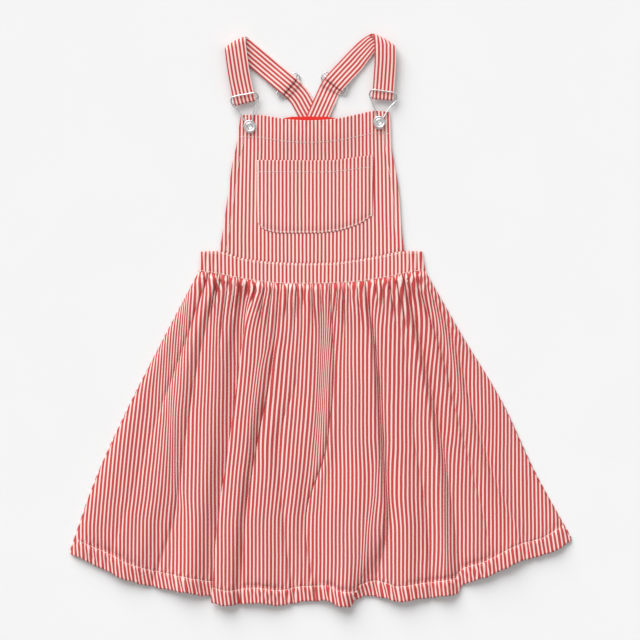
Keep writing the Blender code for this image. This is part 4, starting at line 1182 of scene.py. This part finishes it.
def tube(name, path, radius, closed, finish, cuts=4, sides=14):
    """A round wire along a path, with the path's corners rounded."""
    count = len(path)
    if closed:
        knots = np.arange(-2, count + 3)
        padded = path[knots % count]
        where = np.arange(count * cuts) / cuts
    else:
        knots = np.arange(count)
        padded = path
        where = np.linspace(0, count - 1, (count - 1) * cuts + 1)
    line = np.stack([through(knots.astype(float), padded[:, i], where) for i in range(3)], axis=1)
    if closed:
        tangent = np.roll(line, -1, axis=0) - np.roll(line, 1, axis=0)
    else:
        tangent = np.gradient(line, axis=0)
    tangent /= np.linalg.norm(tangent, axis=1, keepdims=True)
    side = np.cross(tangent, (0, 0, 1.0))
    side /= np.linalg.norm(side, axis=1, keepdims=True)
    upward = np.cross(side, tangent)
    angles = np.arange(sides) * 2 * math.pi / sides
    rings = (line[:, None] + radius * (side[:, None] * np.cos(angles)[None, :, None]
                                       + upward[:, None] * np.sin(angles)[None, :, None]))
    total = len(line)
    at = np.arange(total * sides).reshape(total, sides)
    ahead = np.roll(at, -1, axis=0) if closed else at[1:]
    here = at if closed else at[:-1]
    faces = np.stack([here, np.roll(here, -1, axis=1), np.roll(ahead, -1, axis=1), ahead], axis=-1)
    faces = faces.reshape(-1, 4).tolist()
    if not closed:
        faces += [at[0, ::-1].tolist(), at[-1].tolist()]
    return new_piece(name, rings.reshape(-1, 3), faces, finish)


def bar_ends(middle, sideways, half, z):
    """The ends of a straight bar across the strap."""
    return np.array([[*(middle + sideways * x), z] for x in (-half, half)])


def make_clip(side, strap, metal):
    bar = strap.point(-strap.front_length, 0, 0)[:2]
    button = np.array(BUTTONS[side])
    across, forward = plan_frame(button, bar)
    stretch = float(np.linalg.norm(bar - button)) - CLIP_BAR_REACH
    path = [(x, y + stretch * float(step(6, 22, y)), z) for x, y, z in CLIP_PATH]
    path = laid_wire(path, button, across, forward, CLIP_Z)
    loop = tube(f"clip_{side}_wire", path, CLIP_WIRE, True, metal)
    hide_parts(f"clip_{side}")
    sideways = strap.sideways(-strap.front_length)
    ends = bar_ends(bar, sideways, STRAP_WIDTH / 2 + CLIP_BAR_OVERHANG, CLIP_BAR_Z)
    tube(f"clip_{side}_bar", ends, CLIP_WIRE * BAR_SHARE, False, metal)


def make_slider(side, strap, metal):
    at = strap.loop + strap.facts["slider_at"]
    middle, ahead = (strap.point(along, 0, 0)[:2] for along in (at, at + 4))
    across, forward = plan_frame(middle, ahead)
    path = laid_wire(SLIDER_PATH, middle, across, forward, 0)
    loop = tube(f"slider_{side}_wire", path, SLIDER_WIRE, True, metal)
    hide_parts(f"slider_{side}")
    ends = bar_ends(middle, across, SLIDER_HALF_BAR, SLIDER_BAR_Z)
    tube(f"slider_{side}_bar", ends, SLIDER_WIRE * BAR_SHARE, False, metal)


def make_straps(cloth, thread, metal):
    half_width = STRAP_WIDTH / 2
    middle = np.linspace(-half_width + 1, half_width - 1, 17)
    overs = np.concatenate([[-half_width, -half_width + 0.35], middle, [half_width - 0.35, half_width]])
    inset = half_width - np.abs(overs)
    half = 0.28 + 0.42 * step(0, 0.9, inset) - 0.14 * dent(inset - STRAP_STITCH, 0.7)
    at = row_of(overs, half_width - STRAP_STITCH)
    for side in STRAPS:
        strap = Strap(side)
        grid = strap_grid(strap, overs)
        gaps = np.linalg.norm(np.diff(grid[:, len(overs) // 2], axis=0), axis=1)
        along = np.concatenate([[0], np.cumsum(gaps)])
        pucker = 0.06 * np.sin(along[:, None] / 1.3) * fall(1.5, 5, inset)[None]
        sheet = Sheet(grid, overs[None] + 1.2, along[:, None], half[None] + pucker, half[None] - pucker, -1)
        piece = sheet.piece(f"strap_{side}_cloth", cloth)
        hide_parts(f"strap_{side}")
        run = np.linspace(2, len(grid) - 2, 2600)
        sewn = [sheet.at(run, np.full(len(run), column)) for column in (at, len(overs) - 1 - at)]
        sew(f"strap_{side}_stitches", sewn, thread)
        make_clip(side, strap, metal)
        make_slider(side, strap, metal)


# ---------------------------------------------------------------- the buttons

BUTTON_STEPS = 96
# The tack button's section: radius, and height above the foot of the cap.
BUTTON_CAP = ((0, 1.55), (1.5, 1.35), (2.2, 1.3), (2.8, 2.1), (3.4, 2.6), (3.9, 2.1), (4.4, 1.35), (5.2, 1.3),
              (5.9, 2.1), (6.5, 2.65), (7.1, 2.5), (7.6, 1.6), (7.5, 0.7), (7.0, 0.2), (5.8, 0.0), (2.2, 0.0))


def make_buttons(metal):
    """Tack buttons: a post through the clip's wire, and a rimmed, dished cap with a plain ring."""
    for side, (x, y) in BUTTONS.items():
        base = float(bib_height(x, y)) + BIB_HEM_WALL / 2 + SEAM_GAP
        cap = CLIP_Z + CLIP_WIRE + SEAM_GAP
        section = [(r, cap + z) for r, z in BUTTON_CAP]
        section += [(2.2, base + 0.6), (3.6, base + 0.4), (3.6, base), (0, base)]
        angles = np.arange(BUTTON_STEPS) * 2 * math.pi / BUTTON_STEPS
        points = [(x, y, section[0][1])]
        for r, z in section[1:-1]:
            points += [(x + r * math.cos(a), y + r * math.sin(a), z) for a in angles]
        points.append((x, y, section[-1][1]))
        faces = []
        for i in range(BUTTON_STEPS):
            j = (i + 1) % BUTTON_STEPS
            faces.append((0, 1 + i, 1 + j))
            for ring in range(len(section) - 3):
                low = 1 + ring * BUTTON_STEPS
                faces.append((low + i, low + BUTTON_STEPS + i, low + BUTTON_STEPS + j, low + j))
            low = 1 + (len(section) - 3) * BUTTON_STEPS
            faces.append((low + i, len(points) - 1, low + j))
        made = new_piece(f"button_{side}_cap", points, faces, metal)
        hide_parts(f"button_{side}")


# ---------------------------------------------------------------- the floor, lights and camera

FLOOR_HALF = 6.0
FLOOR_Z = -0.0004       # just below the cloth, so that the two don't meet
CAMERA_HEIGHT = 5.0     # above the cloth's middle height
CLOTH_HEIGHT = 0.006
FRAME_WIDTH = 0.8       # what the photograph's width takes in, at the cloth
SENSOR = 36.0
HORIZON = 0.2           # the soft room's brightness low down, against 1 overhead
SKY = 0.61
SUN = 3.15
SUN_WIDTH = 52.0
SUN_TILT = 57.0         # from straight above
SUN_HEADING = 114.0     # the light comes from beyond the straps and a little from the left


def make_studio():
    """The pale floor, the soft room, the light and the camera."""
    mesh = bpy.data.meshes.new("floor")
    corners = [(x * FLOOR_HALF, y * FLOOR_HALF, FLOOR_Z) for x, y in ((-1, -1), (1, -1), (1, 1), (-1, 1))]
    mesh.from_pydata(corners, [], [(0, 1, 2, 3)])
    mesh.materials.append(paper_floor())
    floor = bpy.data.objects.new("floor", mesh)
    bpy.context.scene.collection.objects.link(floor)

    world = bpy.data.worlds.new("studio")
    world.use_nodes = True
    nodes = world.node_tree.nodes
    links = world.node_tree.links
    place = nodes.new("ShaderNodeTexCoord")
    split = nodes.new("ShaderNodeSeparateXYZ")
    ramp = nodes.new("ShaderNodeValToRGB")
    links.new(place.outputs["Generated"], split.inputs["Vector"])
    links.new(split.outputs["Z"], ramp.inputs["Fac"])
    links.new(ramp.outputs["Color"], nodes["Background"].inputs["Color"])
    ramp.color_ramp.elements[0].color = (HORIZON, HORIZON, HORIZON, 1)
    ramp.color_ramp.elements[0].position = 0.1
    ramp.color_ramp.elements[1].color = (1, 1, 1, 1)
    ramp.color_ramp.elements[1].position = 0.75
    nodes["Background"].inputs["Strength"].default_value = SKY
    bpy.context.scene.world = world

    lamp = bpy.data.lights.new("key", "SUN")
    lamp.energy = SUN
    lamp.angle = math.radians(SUN_WIDTH)
    light = bpy.data.objects.new("key", lamp)
    bpy.context.scene.collection.objects.link(light)
    light.rotation_euler = (0, math.radians(SUN_TILT), math.radians(SUN_HEADING))

    lens = bpy.data.cameras.new("camera")
    lens.sensor_width = SENSOR
    lens.lens = SENSOR * CAMERA_HEIGHT / FRAME_WIDTH
    camera = bpy.data.objects.new("camera", lens)
    bpy.context.scene.collection.objects.link(camera)
    camera.location = (-MIDDLE_X * MM, 0, CAMERA_HEIGHT + CLOTH_HEIGHT)
    bpy.context.scene.camera = camera
    bpy.context.scene.view_settings.view_transform = "Standard"


cotton = striped_cotton("striped_cotton", 0.54, 1.0)
# The skirt's copy is the same cloth with a wider red share and a darker tone. That is painted shade, standing
# in for the shade of the skirt's deep folds.
shaded_skirt_cotton = striped_cotton("striped_cotton_skirt_painted_shade", 0.61, 0.96)
red_tape = plain_cotton("red_cotton_tape", (0.66, 0.018, 0.012), (0.80, 0.038, 0.028), 0.5, 0.85)
sewing_thread = plain_cotton("ecru_thread", (0.88, 0.76, 0.70), (0.95, 0.88, 0.83), 0.3, 0.8)
plated = nickel()
make_skirt(shaded_skirt_cotton, sewing_thread)
make_waistband(cotton, sewing_thread)
make_bib(cotton, sewing_thread)
make_pocket(cotton, sewing_thread)
make_yoke(cotton, red_tape)
make_straps(cotton, sewing_thread, plated)
make_buttons(plated)
make_studio()
